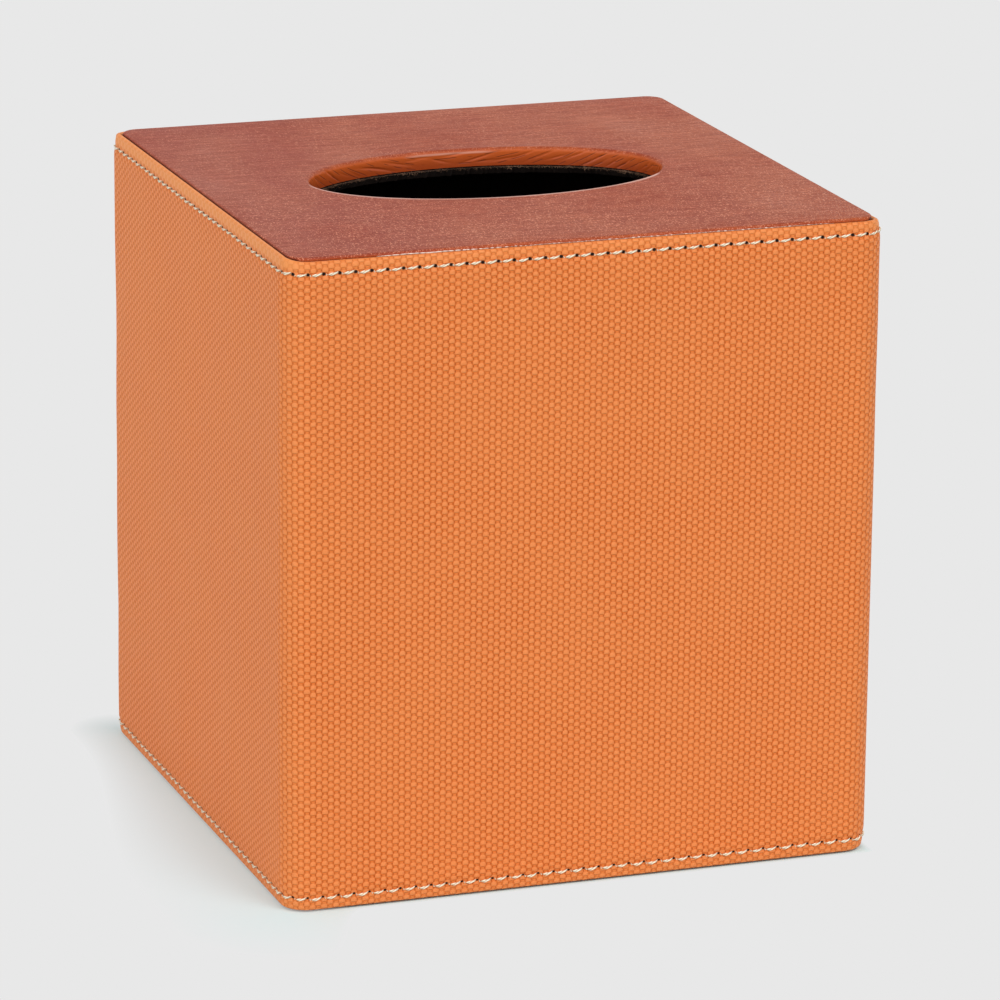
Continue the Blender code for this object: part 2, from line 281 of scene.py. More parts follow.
def block(name: str, low: Vector, high: Vector) -> Piece:
    """A new block between two corners.

    Args:
        name: Its name.
        low: Its lowest corner.
        high: Its highest corner.

    Returns:
        The block, with its place and size in its mesh.
    """
    clear_selection()
    bpy.ops.mesh.primitive_cube_add(size=1, location=(low + high) / 2, scale=high - low, calc_uvs=False)
    piece = bpy.context.object
    piece.name = piece.data.name = name
    bpy.ops.object.transform_apply(location=True, rotation=True, scale=True)
    return piece


def vectors(items: bpy.types.bpy_prop_collection, label: str) -> Array:
    """One vector of every item, one row each.

    Args:
        items: Points or normals of a mesh.
        label: What each one calls its vector.

    Returns:
        X, Y and Z of each.
    """
    flat = np.empty(len(items) * 3)
    items.foreach_get(label, flat)
    return flat.reshape(-1, 3)


def lay_sheet(name: str, columns: int, rows: int, place: Placing, wrap: Placing | None = None,
              joined: bool = False) -> Piece:
    """Lay a flat grid of sheet material over a form.

    Args:
        name: The piece's name.
        columns: Faces across the sheet.
        rows: Faces up the sheet.
        place: Gives X, Y and Z from the column and row numbers of the points.
        wrap: Gives the sheet's own two coordinates in metres, for the pattern on it.
        joined: Whether the first and last columns meet and are welded.

    Returns:
        The object, with its face side out and its pattern in a UV map.
    """
    clear_selection()
    bpy.ops.mesh.primitive_grid_add(x_subdivisions=columns, y_subdivisions=rows, size=1)
    piece = bpy.context.object
    piece.name = piece.data.name = name
    mesh = piece.data
    flat = vectors(mesh.vertices, "co")
    column = np.round((flat[:, 0] + 0.5) * columns)
    row = np.round((flat[:, 1] + 0.5) * rows)
    mesh.vertices.foreach_set("co", place(column, row).ravel())
    corners = np.empty(len(mesh.loops), dtype=np.int32)
    mesh.loops.foreach_get("vertex_index", corners)
    pattern = (wrap or (lambda c, r: np.stack([c * MM, r * 0], axis=-1)))(column, row)
    layer = mesh.uv_layers.active
    layer.name = WRAP
    layer.uv.foreach_set("vector", pattern[corners].ravel())
    mesh.update()
    if joined:
        edit_all(lambda: bpy.ops.mesh.remove_doubles(threshold=WELD))
    return piece


def assemble(name: str, points: Array, faces: list) -> Piece:
    """A new object from points and faces, for small shapes that repeat hundreds of times.

    Args:
        name: Its name.
        points: X, Y and Z of each point.
        faces: The numbers of each face's points.

    Returns:
        The object.
    """
    mesh = bpy.data.meshes.new(name)
    mesh.from_pydata(points.tolist(), [], faces)
    piece = bpy.data.objects.new(name, mesh)
    bpy.context.collection.objects.link(piece)
    return piece


def thicken(piece: Piece, thickness: float) -> None:
    """Give a sheet its thickness behind its face."""
    modify(piece, "SOLIDIFY", thickness=thickness, offset=-1, use_even_offset=True, thickness_clamp=0)


def coordinates(piece: Piece) -> Array:
    """Every point of an object's mesh, one row each."""
    return vectors(piece.data.vertices, "co")


def move_points(piece: Piece, points: Array) -> None:
    """Put every point of an object's mesh in its new place."""
    piece.data.vertices.foreach_set("co", points.ravel())
    piece.data.update()


def mark(piece: Piece, values: Array, label: str = STRETCH_AND_LIGHT) -> None:
    """Write a value of 0 to 1 at each point, which marks the sheet's stretch and where light and shade are
    painted.
    """
    layer = piece.data.attributes.new(label, "FLOAT", "POINT")
    layer.data.foreach_set("value", values.astype(np.float32))


def roughen(piece: Piece, depth: float, wavelength: float, seed: int) -> None:
    """Make a surface gently uneven along its normals.

    Args:
        piece: The piece.
        depth: How far it mostly rises and falls.
        wavelength: The typical distance between two crests.
        seed: Fixes the waves.
    """
    normals = vectors(piece.data.vertex_normals, "vector")
    points = coordinates(piece)
    move_points(piece, points + normals * (depth * ripples(points, wavelength, seed))[:, None])


def dress(piece: Piece, material: Material) -> None:
    """Put one material on every slot of an object.

    Args:
        piece: The object.
        material: Its material from now on.
    """
    if not piece.material_slots:
        piece.data.materials.append(material)
    for slot in piece.material_slots:
        slot.material = material


def settle(piece: Piece, material: Material, body: Body | None, slot: str | None, *nodes: str,
           thickness: float = 0.0, degrees: float = 0.0) -> None:
    """Finish a new piece, make it ride on its body, and let it stand for the model's nodes.

    Args:
        piece: The new piece.
        material: Its finish.
        body: The body that it rides on, unless it bends between two.
        slot: The record's material slot, where it has one; not used.
        nodes: The nodes that it stands for.
        thickness: The wall that a sheet still has to get.
        degrees: The sharpest edge to shade smooth, where it isn't shaded yet.
    """
    if thickness:
        thicken(piece, thickness)
    if degrees:
        smooth(piece, degrees)
    dress(piece, material)
    if body:
        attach(piece, body.value)
    if nodes:
        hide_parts(*nodes)
    log.info("%s: %d faces", piece.name, len(piece.data.polygons))


# Shader nodes


def worked(operation: str, turned: bool = False) -> Callable:
    """A method that works on a wire with one Math node.

    Args:
        operation: The node's operation.
        turned: Whether the other value comes first, as Python's reflected operators have it.

    Returns:
        The method.
    """

    def method(self: "Wire", other: "Wire | float" = 0.0) -> "Wire":
        """Place the node."""
        return self.graph.math(operation, *((other, self) if turned else (self, other)))

    return method


class Wire:
    """One value in a shader tree, which Python's operators can work on."""

    __add__, __radd__ = worked("ADD"), worked("ADD", True)
    __sub__, __rsub__ = worked("SUBTRACT"), worked("SUBTRACT", True)
    __mul__, __rmul__ = worked("MULTIPLY"), worked("MULTIPLY", True)
    __truediv__, __rtruediv__ = worked("DIVIDE"), worked("DIVIDE", True)
    __pow__, __abs__ = worked("POWER"), worked("ABSOLUTE")
    floor, fract = worked("FLOOR"), worked("FRACT")
    least, most = worked("MINIMUM"), worked("MAXIMUM")

    def __init__(self, graph: "Graph", socket: bpy.types.NodeSocket) -> None:
        """Hold one output of a node in that graph."""
        self.graph = graph
        self.socket = socket

    def step(self, low: "Wire | float", high: "Wire | float") -> "Wire":
        """A smooth step from 0 at low to 1 at high."""
        sockets = {"Value": self, "From Min": low, "From Max": high}
        return self.graph.wire("ShaderNodeMapRange", "Result", sockets, interpolation_type="SMOOTHSTEP")


class Graph:
    """Writes the nodes of one shader tree."""

    def __init__(self, tree: bpy.types.NodeTree) -> None:
        """Write into that tree."""
        self.tree = tree

    def feed(self, node: bpy.types.Node, sockets: Sockets) -> None:
        """Set or wire a node's inputs, given by name or number.

        Args:
            node: The node.
            sockets: Values or wires for its inputs.
        """
        for name, value in sockets.items():
            if isinstance(value, Wire):
                self.tree.links.new(value.socket, node.inputs[name])
            else:
                node.inputs[name].default_value = value

    def node(self, kind: str, sockets: Sockets | None = None, **settings: object) -> bpy.types.Node:
        """Add a node.

        Args:
            kind: The node's type.
            sockets: Values or wires for its inputs.
            settings: Its own settings.

        Returns:
            The new node.
        """
        made = self.tree.nodes.new(kind)
        for name, value in settings.items():
            setattr(made, name, value)
        self.feed(made, sockets or {})
        return made

    def wire(self, kind: str, output: str | int, sockets: Sockets | None = None, **settings: object) -> Wire:
        """Add a node and give back one of its outputs."""
        return Wire(self, self.node(kind, sockets, **settings).outputs[output])

    def math(self, operation: str, first: Wire | float, second: Wire | float = 0.0) -> Wire:
        """One Math node."""
        return self.wire("ShaderNodeMath", 0, {0: first, 1: second}, operation=operation)

    def blend(self, share: Wire | float, first: Wire | Colour, second: Wire | Colour) -> Wire:
        """A colour between two others."""
        sockets = {"Factor": share, 6: first, 7: second}
        return self.wire("ShaderNodeMix", 2, sockets, data_type="RGBA")

    def scaled(self, vector: Wire, scale: Sequence[float]) -> Wire:
        """A vector stretched along its axes."""
        return self.wire("ShaderNodeMapping", 0, {"Vector": vector, "Scale": scale})

    def counted(self, vector: Wire, size: Wire | float) -> Wire:
        """A vector counted in steps of that size."""
        return self.wire("ShaderNodeVectorMath", 0, {0: vector, "Scale": 1.0 / size}, operation="SCALE")

    def noise(self, vector: Wire, scale: float, detail: float = 2.0, roughness: float = 0.5,
              flat: bool = False) -> Wire:
        """Soft noise, mostly between 0.3 and 0.7.

        Args:
            vector: Where it is read.
            scale: How many times it changes in a metre, or in a step of the vector.
            detail: How many finer layers it has.
            roughness: How strong those are.
            flat: Whether the vector's third part is left out.

        Returns:
            The noise.
        """
        sockets = {"Vector": vector, "Scale": scale, "Detail": detail, "Roughness": roughness}
        return self.wire("ShaderNodeTexNoise", 0, sockets, noise_dimensions="2D" if flat else "3D")

    def pair(self, first: Wire, second: Wire) -> Wire:
        """A vector of two parts."""
        return self.wire("ShaderNodeCombineXYZ", 0, {0: first, 1: second})

    def wires(self, node: bpy.types.Node) -> list[Wire]:
        """Every output of a node."""
        return [Wire(self, output) for output in node.outputs]

    def axes(self, vector: Wire) -> list[Wire]:
        """The three parts of a vector."""
        return self.wires(self.node("ShaderNodeSeparateXYZ", {"Vector": vector}))

    def place(self) -> Wire:
        """The place on the object, in metres."""
        return self.wire("ShaderNodeTexCoord", "Object")

    def pattern(self) -> Wire:
        """The sheet's own coordinates, in metres."""
        return self.wire("ShaderNodeUVMap", 0, uv_map=WRAP)

    def marked(self, label: str = STRETCH_AND_LIGHT) -> Wire:
        """A mark of 0 to 1, for the sheet's stretch and for painted light and shade."""
        return self.wire("ShaderNodeAttribute", "Fac", attribute_name=label)

    def effect(self, name: str, **sockets: Wire | float) -> list[Wire]:
        """Place a shared effect with its own values, and give back its outputs."""
        named = {key.replace("_", " ").capitalize(): value for key, value in sockets.items()}
        return self.wires(self.node("ShaderNodeGroup", named, node_tree=bpy.data.node_groups[name]))

    def bump(self, height: Wire, depth: float) -> Wire:
        """A normal from a height of 0 to 1 that stands for that depth in metres."""
        return self.wire("ShaderNodeBump", 0, {"Height": height, "Distance": depth, "Strength": 1.0})


class Effect:
    """A shared effect in the making: a node group that takes a vector and values, and gives values."""

    def __init__(self, name: str, takes: Sequence[str], gives: Sequence[str]) -> None:
        """Open a group.

        Args:
            name: The group's name.
            takes: The names of its values, after the vector.
            gives: The names of its outputs.
        """
        self.tree = bpy.data.node_groups.new(name, "ShaderNodeTree")
        sockets = [("Vector", "INPUT", "NodeSocketVector")]
        sockets += [(label, "INPUT", "NodeSocketFloat") for label in takes]
        sockets += [(label, "OUTPUT", "NodeSocketFloat") for label in gives]
        for label, side, kind in sockets:
            self.tree.interface.new_socket(label, in_out=side, socket_type=kind)
        self.graph = Graph(self.tree)
        self.inlet = self.tree.nodes.new("NodeGroupInput")
        self.outlet = self.tree.nodes.new("NodeGroupOutput")

    def __getitem__(self, label: str) -> Wire:
        """One of the group's inputs."""
        return Wire(self.graph, self.inlet.outputs[label])

    def __setitem__(self, label: str, value: Wire) -> None:
        """Set one of the group's outputs."""
        self.graph.feed(self.outlet, {label: value})


def make_weave_emboss() -> None:
    """Embossing like canvas: domed floats in brick order, flat threads between them and pits beside them."""
    effect = Effect("weave emboss", ("Column", "Row", "Uneven"), ("Dome", "Pit", "Thread", "Cell"))
    graph = effect.graph
    x, y, _ = graph.axes(effect["Vector"])
    drift, drift_up = ((graph.noise(effect["Vector"], scale, 1.0, flat=True) - 0.5) * effect["Uneven"]
                       for scale in (450, 390))
    x = x / effect["Column"] + drift
    y = y / effect["Row"] - drift_up
    layers = []
    for shift in (0.0, 1.0):
        column = ((x + shift) * 0.5 + 0.5).floor()
        row = (y + shift * 0.5 + 0.5).floor()
        cell = graph.pair(column * 2.0 + shift, row)
        chance = graph.wire("ShaderNodeTexWhiteNoise", "Value", {"Vector": cell}, noise_dimensions="2D")
        across = abs(x + shift - column * 2.0)
        up = y + shift * 0.5 - row
        high = (up.most(0.0) / 0.38) ** 2.2 + ((0.0 - up).most(0.0) / 0.27) ** 6.0
        crown = (across / (chance * 0.05 + 0.475)) ** 3.0 + high
        dome = (1.0 - crown).most(0.0) ** 0.5
        beside = ((across - 0.62) / 0.095) ** 2.0
        pit = graph.math("EXPONENT", 0.0 - beside - ((up - 0.03) / 0.12) ** 2.0)
        float_thread = graph.math("EXPONENT", 0.0 - (across / 0.30) ** 4.0) * abs(up).step(0.33, 0.42)
        layers.append((dome, pit, float_thread, chance))
    (dome, pit, strand, chance), (other_dome, other_pit, other_strand, other_chance) = layers
    chosen = graph.math("GREATER_THAN", dome, other_dome)
    effect["Dome"] = dome.most(other_dome)
    effect["Pit"] = pit.most(other_pit).least(1.0)
    effect["Thread"] = strand.most(other_strand)
    effect["Cell"] = chance * chosen + other_chance * (1.0 - chosen)


def make_awl_holes() -> None:
    """Where an awl has pierced two rows of holes round a sheet, each a little wider than it is high."""
    effect = Effect("awl holes", ("Pitch", "Upper row", "Lower row", "Radius", "Lower size"), ("Hole",))
    graph = effect.graph
    x, y, _ = graph.axes(effect["Vector"])
    side = ((x / effect["Pitch"] + 0.5).fract() - 0.5) * effect["Pitch"] * 0.8
    radius = effect["Radius"]
    holes = []
    for row, size in (("Upper row", radius), ("Lower row", radius * effect["Lower size"])):
        rise = y - effect[row]
        holes.append(((side * side + rise * rise) ** 0.5 / size).step(1.2, 0.7))
    effect["Hole"] = holes[0].most(holes[1])


def make_leather_grain() -> None:
    """Fine pebbled grain with specks of painted sparkle highlight, low points and soft clouds, as on smooth
    leatherette.
    """
    effect = Effect("leather grain", ("Size",), ("Height", "Sparkle", "Dimple", "Cloud"))
    graph = effect.graph
    scaled = graph.counted(effect["Vector"], effect["Size"])
    fine = graph.noise(scaled, 1.0, 1.0, 0.6)
    coarse = graph.noise(scaled, 0.36, 1.0, 0.5)
    effect["Height"] = (abs(fine - 0.5) * -2.4 + 1.0) * 0.6 + coarse * 0.8
    # Where the grain's sparkle is painted as a highlight.
    effect["Sparkle"] = fine.step(0.50, 0.68) * coarse.step(0.34, 0.54)
    effect["Dimple"] = fine.step(0.46, 0.32)
    effect["Cloud"] = graph.noise(scaled, 0.011, 2.0)


def make_streaks() -> None:
    """Fine lines along X, as a roller leaves them."""
    effect = Effect("streaks", ("Width",), ("Line",))
    graph = effect.graph
    stretched = graph.scaled(effect["Vector"], (0.11, 1.0, 0.3))
    scaled = graph.counted(stretched, effect["Width"])
    effect["Line"] = graph.noise(scaled, 1.0, 3.0, 0.7)


def make_creases() -> None:
    """Thin short folds along lines of even rise, where a sheet is drawn into a curved edge."""
    effect = Effect("creases", ("Length", "Width", "Rise"), ("Fold",))
    graph = effect.graph
    x, y, _ = graph.axes(effect["Vector"])
    wander = graph.noise(graph.counted(effect["Vector"], effect["Length"]), 0.5, 0.0, flat=True)
    level = (y + effect["Rise"]) / effect["Width"] + wander * 0.9
    stroke = graph.pair(x / effect["Length"] * 1.6, level.floor() * 7.3)
    shown = graph.noise(stroke, 1.0, 0.0, flat=True).step(0.42, 0.55)
    effect["Fold"] = abs(level.fract() - 0.5).step(0.10, 0.02) * shown


def make_nap() -> None:
    """Short pile that leans this way and that."""
    effect = Effect("nap", ("Size",), ("Height", "Lean"))
    graph = effect.graph
    scaled = graph.counted(effect["Vector"], effect["Size"])
    effect["Height"] = graph.noise(scaled, 1.0, 4.0, 0.7)
    effect["Lean"] = graph.noise(scaled, 0.03, 2.0, 0.5).step(0.35, 0.65)


# Finishes


@dataclass(frozen=True)
class Finish:
    """What every finish has: a name, its colour and its gloss."""

    name: str
    colour: Colour
    roughness: float

    def paint(self, graph: Graph) -> Sockets:
        """What feeds the shader's sockets besides the plain colour and gloss."""
        raise NotImplementedError

    def material(self) -> Material:
        """Build the material round its Principled shader.

        Returns:
            The material.
        """
        material = bpy.data.materials.new(self.name)
        material.use_nodes = True
        graph = Graph(material.node_tree)
        shader = material.node_tree.nodes["Principled BSDF"]
        graph.feed(shader, {"Base Color": self.colour, "Roughness": self.roughness})
        graph.feed(shader, self.paint(graph))
        return material


@dataclass(frozen=True)
class EmbossedLeatherette(Finish):
    """The sleeve's leatherette, embossed like canvas and pierced along its two seams."""

    # The ground and pit colours are painted shade in the emboss's hollows.
    shaded_ground: Colour
    thread: Colour
    pit: Colour
    # The edge colour marks stretch by the folds, and is also painted light: on the shoulder above the upper
    # seam, and as sheen on the sides.
    edge: Colour
    # The hole colour is painted shade inside the awl holes.
    hole: Colour
    column: float
    row: float
    depth: float
    pitch: float
    upper_row: float
    lower_row: float
    awl: float
    lower_awl_share: float
    uneven: float = 0.18

    def paint(self, graph: Graph) -> Sockets:
        """Flat threads, and the ground and pits painted dark as shade in the hollows, then the crowns over
        them, the stretched edges and sides with painted light, and the holes painted dark as the shade inside
        them.

        Args:
            graph: Writes the material's nodes.

        Returns:
            Values and wires for the shader's sockets.
        """
        pattern, stretch_and_light = graph.pattern(), graph.marked()
        dome, pit, strand, cell = graph.effect("weave emboss", vector=pattern, column=self.column,
                                               row=self.row, uneven=self.uneven)
        hole, = graph.effect("awl holes", vector=pattern, pitch=self.pitch, upper_row=self.upper_row,
                             lower_row=self.lower_row, radius=self.awl, lower_size=self.lower_awl_share)
        fine = graph.noise(pattern, 3600, 2.0, 0.6, flat=True)
        cloud = graph.noise(pattern, 38, 2.0, flat=True)
        crown = dome.step(0.02, 0.46)
        # Painted shade: the ground and pits stay darker than the crowns, in the hollows of the emboss.
        colour = self.shaded_ground
        for share, tint in ((strand, self.thread), (pit * (1.0 - stretch_and_light * 0.45), self.pit),
                            (crown, self.colour), (cell * 0.25, self.thread),
                            (fine.step(0.58, 0.34) * 0.30, self.thread),
                            # Random clouds; then stretch by the folds, with painted light on the shoulder and
                            # painted sheen on the sides.
                            (cloud.step(0.35, 0.65) * 0.05, self.edge), (stretch_and_light * 0.75, self.edge),
                            # Painted shade inside the awl holes.
                            (hole, self.hole)):
            colour = graph.blend(share, colour, tint)
        height = dome * dome * 0.55 + dome * 0.25 + strand * 0.26 - pit * (1.0 - crown) * 0.25
        relief = height * (1.0 - stretch_and_light * 0.75) + fine * 0.07 - hole * 1.2
        rough = self.roughness + (1.0 - crown) * 0.14 + (fine - 0.5) * 0.2 - stretch_and_light * 0.06 + hole * 0.3
        return {"Base Color": colour, "Roughness": rough, "Normal": graph.bump(relief, self.depth),
                "Specular IOR Level": 0.3}


@dataclass(frozen=True)
class SmoothLeatherette(Finish):
    """Plain leatherette with a fine grain, streaks from the roller and brighter bends, which are stretch and
    painted light.
    """

    # Painted highlight: the sparkle of the grain.
    sparkle_highlight: Colour
    # The streaks and the grain's low points, and painted shade deeper in the mouth.
    dark: Colour
    # Random clouds, and painted shade over the left of the top.
    cloudy_and_left_shade: Colour
    # Lighter bends: stretch of the sheet, and painted light on the lit edges and the top of the lip.
    bend: Colour
    # Painted shade in the lip's creases and under the skin's edge.
    gap: Colour
    # Painted highlight on the rim and the lip.
    glint: Colour
    depth: float
    streaks: float
    grain: float = 0.27 * MM
    streak_width: float = 0.9 * MM
    crease_length: float = 4 * MM
    crease_gap: float = 1.3 * MM
    crease_bow: float = 92 * MM

    def paint(self, graph: Graph) -> Sockets:
        """Clouds with painted shade on the left, streaks and grain with painted sparkle, then the bends with
        painted light, painted shade in the mouth and its creases, the rim's painted shine and the painted
        shadow under the edge.

        Args:
            graph: Writes the material's nodes.

        Returns:
            Values and wires for the shader's sockets.
        """
        place, pattern, bend = graph.place(), graph.pattern(), graph.marked()
        pebbles, sparkle_share, dimple, cloud = graph.effect(
            "leather grain", vector=graph.scaled(place, (1.0, 0.45, 1.0)), size=self.grain)
        lines, = graph.effect("streaks", vector=place, width=self.streak_width)
        _, depth, _ = graph.axes(pattern)
        x, back, _ = graph.axes(place)
        fold, = graph.effect("creases", vector=pattern, length=self.crease_length, width=self.crease_gap,
                             rise=x * x / self.crease_bow)
        fold = fold * depth.step(0.9 * MM, 2.0 * MM)
        front = back.step(20 * MM, -50 * MM)
        side = abs(x).step(63 * MM, 64 * MM)
        # Painted shade: the lip darkens deeper into the mouth, and its creases darker still.
        inside = graph.blend(depth.step(0.8 * MM, 4.4 * MM) * 0.6, self.bend, self.dark)
        inside = graph.blend(fold * 0.7, inside, self.gap)
        colour = self.colour
        # Random clouds, and painted shade that grows towards the left of the top.
        for share, tint in ((cloud.step(0.38, 0.62) * 0.6 + x.step(-5 * MM, -60 * MM) * 0.6, self.cloudy_and_left_shade),
                            (lines.step(0.42, 0.66) * self.streaks, self.dark),
                            (lines.step(0.48, 0.34) * self.streaks * 0.4, self.bend),
                            (dimple * (front * 0.25 + 0.30), self.dark),
                            # Painted sparkle highlight, stronger at the front; then the bends, with their
                            # painted light and shade.
                            (sparkle_share * (front * 0.35 + 0.50), self.sparkle_highlight), (bend, inside),
                            # Painted highlight along the rim and high on the far lip.
                            (graph.marked(RIM_HIGHLIGHT).step(0.3, 0.8) * 0.8, self.glint),
                            # Painted shadow under the skin's edge, on the skirt.
                            ((depth - side * (0.4 * MM)).step(-0.75 * MM, -1.25 * MM), self.gap)):
            colour = graph.blend(share, colour, tint)
        relief = pebbles * (1.0 - bend * 0.7) + lines * 0.4 - fold * bend * 0.6
        rough = self.roughness + (lines - 0.5) * 0.3 - bend * 0.12 + (cloud - 0.5) * 0.3
        return {"Base Color": colour, "Roughness": rough, "Normal": graph.bump(relief, self.depth),
                "Specular IOR Level": 0.28}


@dataclass(frozen=True)
class Velvet(Finish):
    """Dark cotton velvet, which catches the light along its edges."""

    crest: Colour
    size: float
    depth: float
    patchy: float = 0.2

    def paint(self, graph: Graph) -> Sockets:
        """Pile whose crests are paler, with a faint sheen.

        Args:
            graph: Writes the material's nodes.

        Returns:
            Values and wires for the shader's sockets.
        """
        height, lean = graph.effect("nap", vector=graph.place(), size=self.size)
        share = height.step(0.45, 0.75) * 0.5 + lean * self.patchy
        return {"Base Color": graph.blend(share, self.colour, self.crest), "Specular IOR Level": 0.15,
                "Normal": graph.bump(height, self.depth), "Sheen Weight": 0.12, "Sheen Roughness": 0.45,
                "Sheen Tint": self.crest}


@dataclass(frozen=True)
class Thread(Finish):
    """Waxed two-ply thread."""

    # Painted shade in the groove between the plies.
    groove: Colour
    depth: float

    def paint(self, graph: Graph) -> Sockets:
        """Fibres along the thread, and painted shade in the groove between its plies.

        Args:
            graph: Writes the material's nodes.

        Returns:
            Values and wires for the shader's sockets.
        """
        place = graph.place()
        fibre = graph.noise(place, 5200, 2.0, 0.6)
        tint = graph.noise(place, 260, 1.0)
        share = tint.step(0.4, 0.7) * 0.05 + fibre.step(0.62, 0.38) * 0.06
        colour = graph.blend(share, self.colour, self.groove)
        # Painted shade, darkest deep in the groove between the plies.
        colour = graph.blend(graph.marked().step(0.45, 1.0) * 0.9, colour, self.groove)
        return {"Base Color": colour, "Normal": graph.bump(fibre, self.depth), "Sheen Weight": 0.05,
                "Specular IOR Level": 0.6}


@dataclass(frozen=True)
class Board(Finish):
    """Grey-brown fibreboard with pressed fibres."""

    fleck: Colour

    def paint(self, graph: Graph) -> Sockets:
        """Pressed fibres and paler flecks.

        Args:
            graph: Writes the material's nodes.

        Returns:
            Values and wires for the shader's sockets.
        """
        place = graph.place()
        fibres = graph.noise(graph.scaled(place, (1.0, 0.25, 0.6)), 2600, 4.0, 0.7)
        flecks = graph.noise(place, 900, 2.0, 0.6)
        share = fibres.step(0.35, 0.65) * 0.6 + flecks.step(0.6, 0.7) * 0.4
        return {"Base Color": graph.blend(share, self.colour, self.fleck),
                "Normal": graph.bump(fibres, 0.08 * MM)}


@dataclass(frozen=True)
class Foam(Finish):
    """Open-celled foam."""

    # Painted shade in the middles of the cells.
    cell: Colour

    def paint(self, graph: Graph) -> Sockets:
        """Cells whose middles are painted darker, as shade in their hollows.

        Args:
            graph: Writes the material's nodes.

        Returns:
            Values and wires for the shader's sockets.
        """
        cells = graph.wire("ShaderNodeTexVoronoi", 0, {"Vector": graph.place(), "Scale": 2200.0})
        return {"Base Color": graph.blend(cells.step(0.45, 0.1), self.colour, self.cell),
                "Normal": graph.bump(cells, 0.12 * MM)}


@dataclass(frozen=True)
class GlueAndHighlight(Finish):
    """Clear glue that has dried pale; the same finish is a painted highlight where the sliver runs thin."""

    bubble: Colour

    def paint(self, graph: Graph) -> Sockets:
        """Lumps with paler bubbles.

        Args:
            graph: Writes the material's nodes.

        Returns:
            Values and wires for the shader's sockets.
        """
        lumps = graph.noise(graph.place(), 3000, 2.0, 0.6)
        return {"Base Color": graph.blend(lumps.step(0.45, 0.7) * 0.5, self.colour, self.bubble),
                "Normal": graph.bump(lumps, 0.04 * MM)}


@dataclass(frozen=True)
class NickelPlate(Finish):
    """Brushed nickel plate on a bar magnet."""

    scratch: Colour

    def paint(self, graph: Graph) -> Sockets:
        """Scratches along the bar.

        Args:
            graph: Writes the material's nodes.

        Returns:
            Values and wires for the shader's sockets.
        """
        brushed = graph.noise(graph.scaled(graph.place(), (0.06, 1.0, 1.0)), 9000, 3.0, 0.6)
        return {"Base Color": graph.blend(brushed.step(0.4, 0.7) * 0.5, self.colour, self.scratch),
                "Roughness": brushed * 0.3 + self.roughness, "Metallic": 1.0,
                "Normal": graph.bump(brushed, 0.01 * MM)}


# The cover's pieces


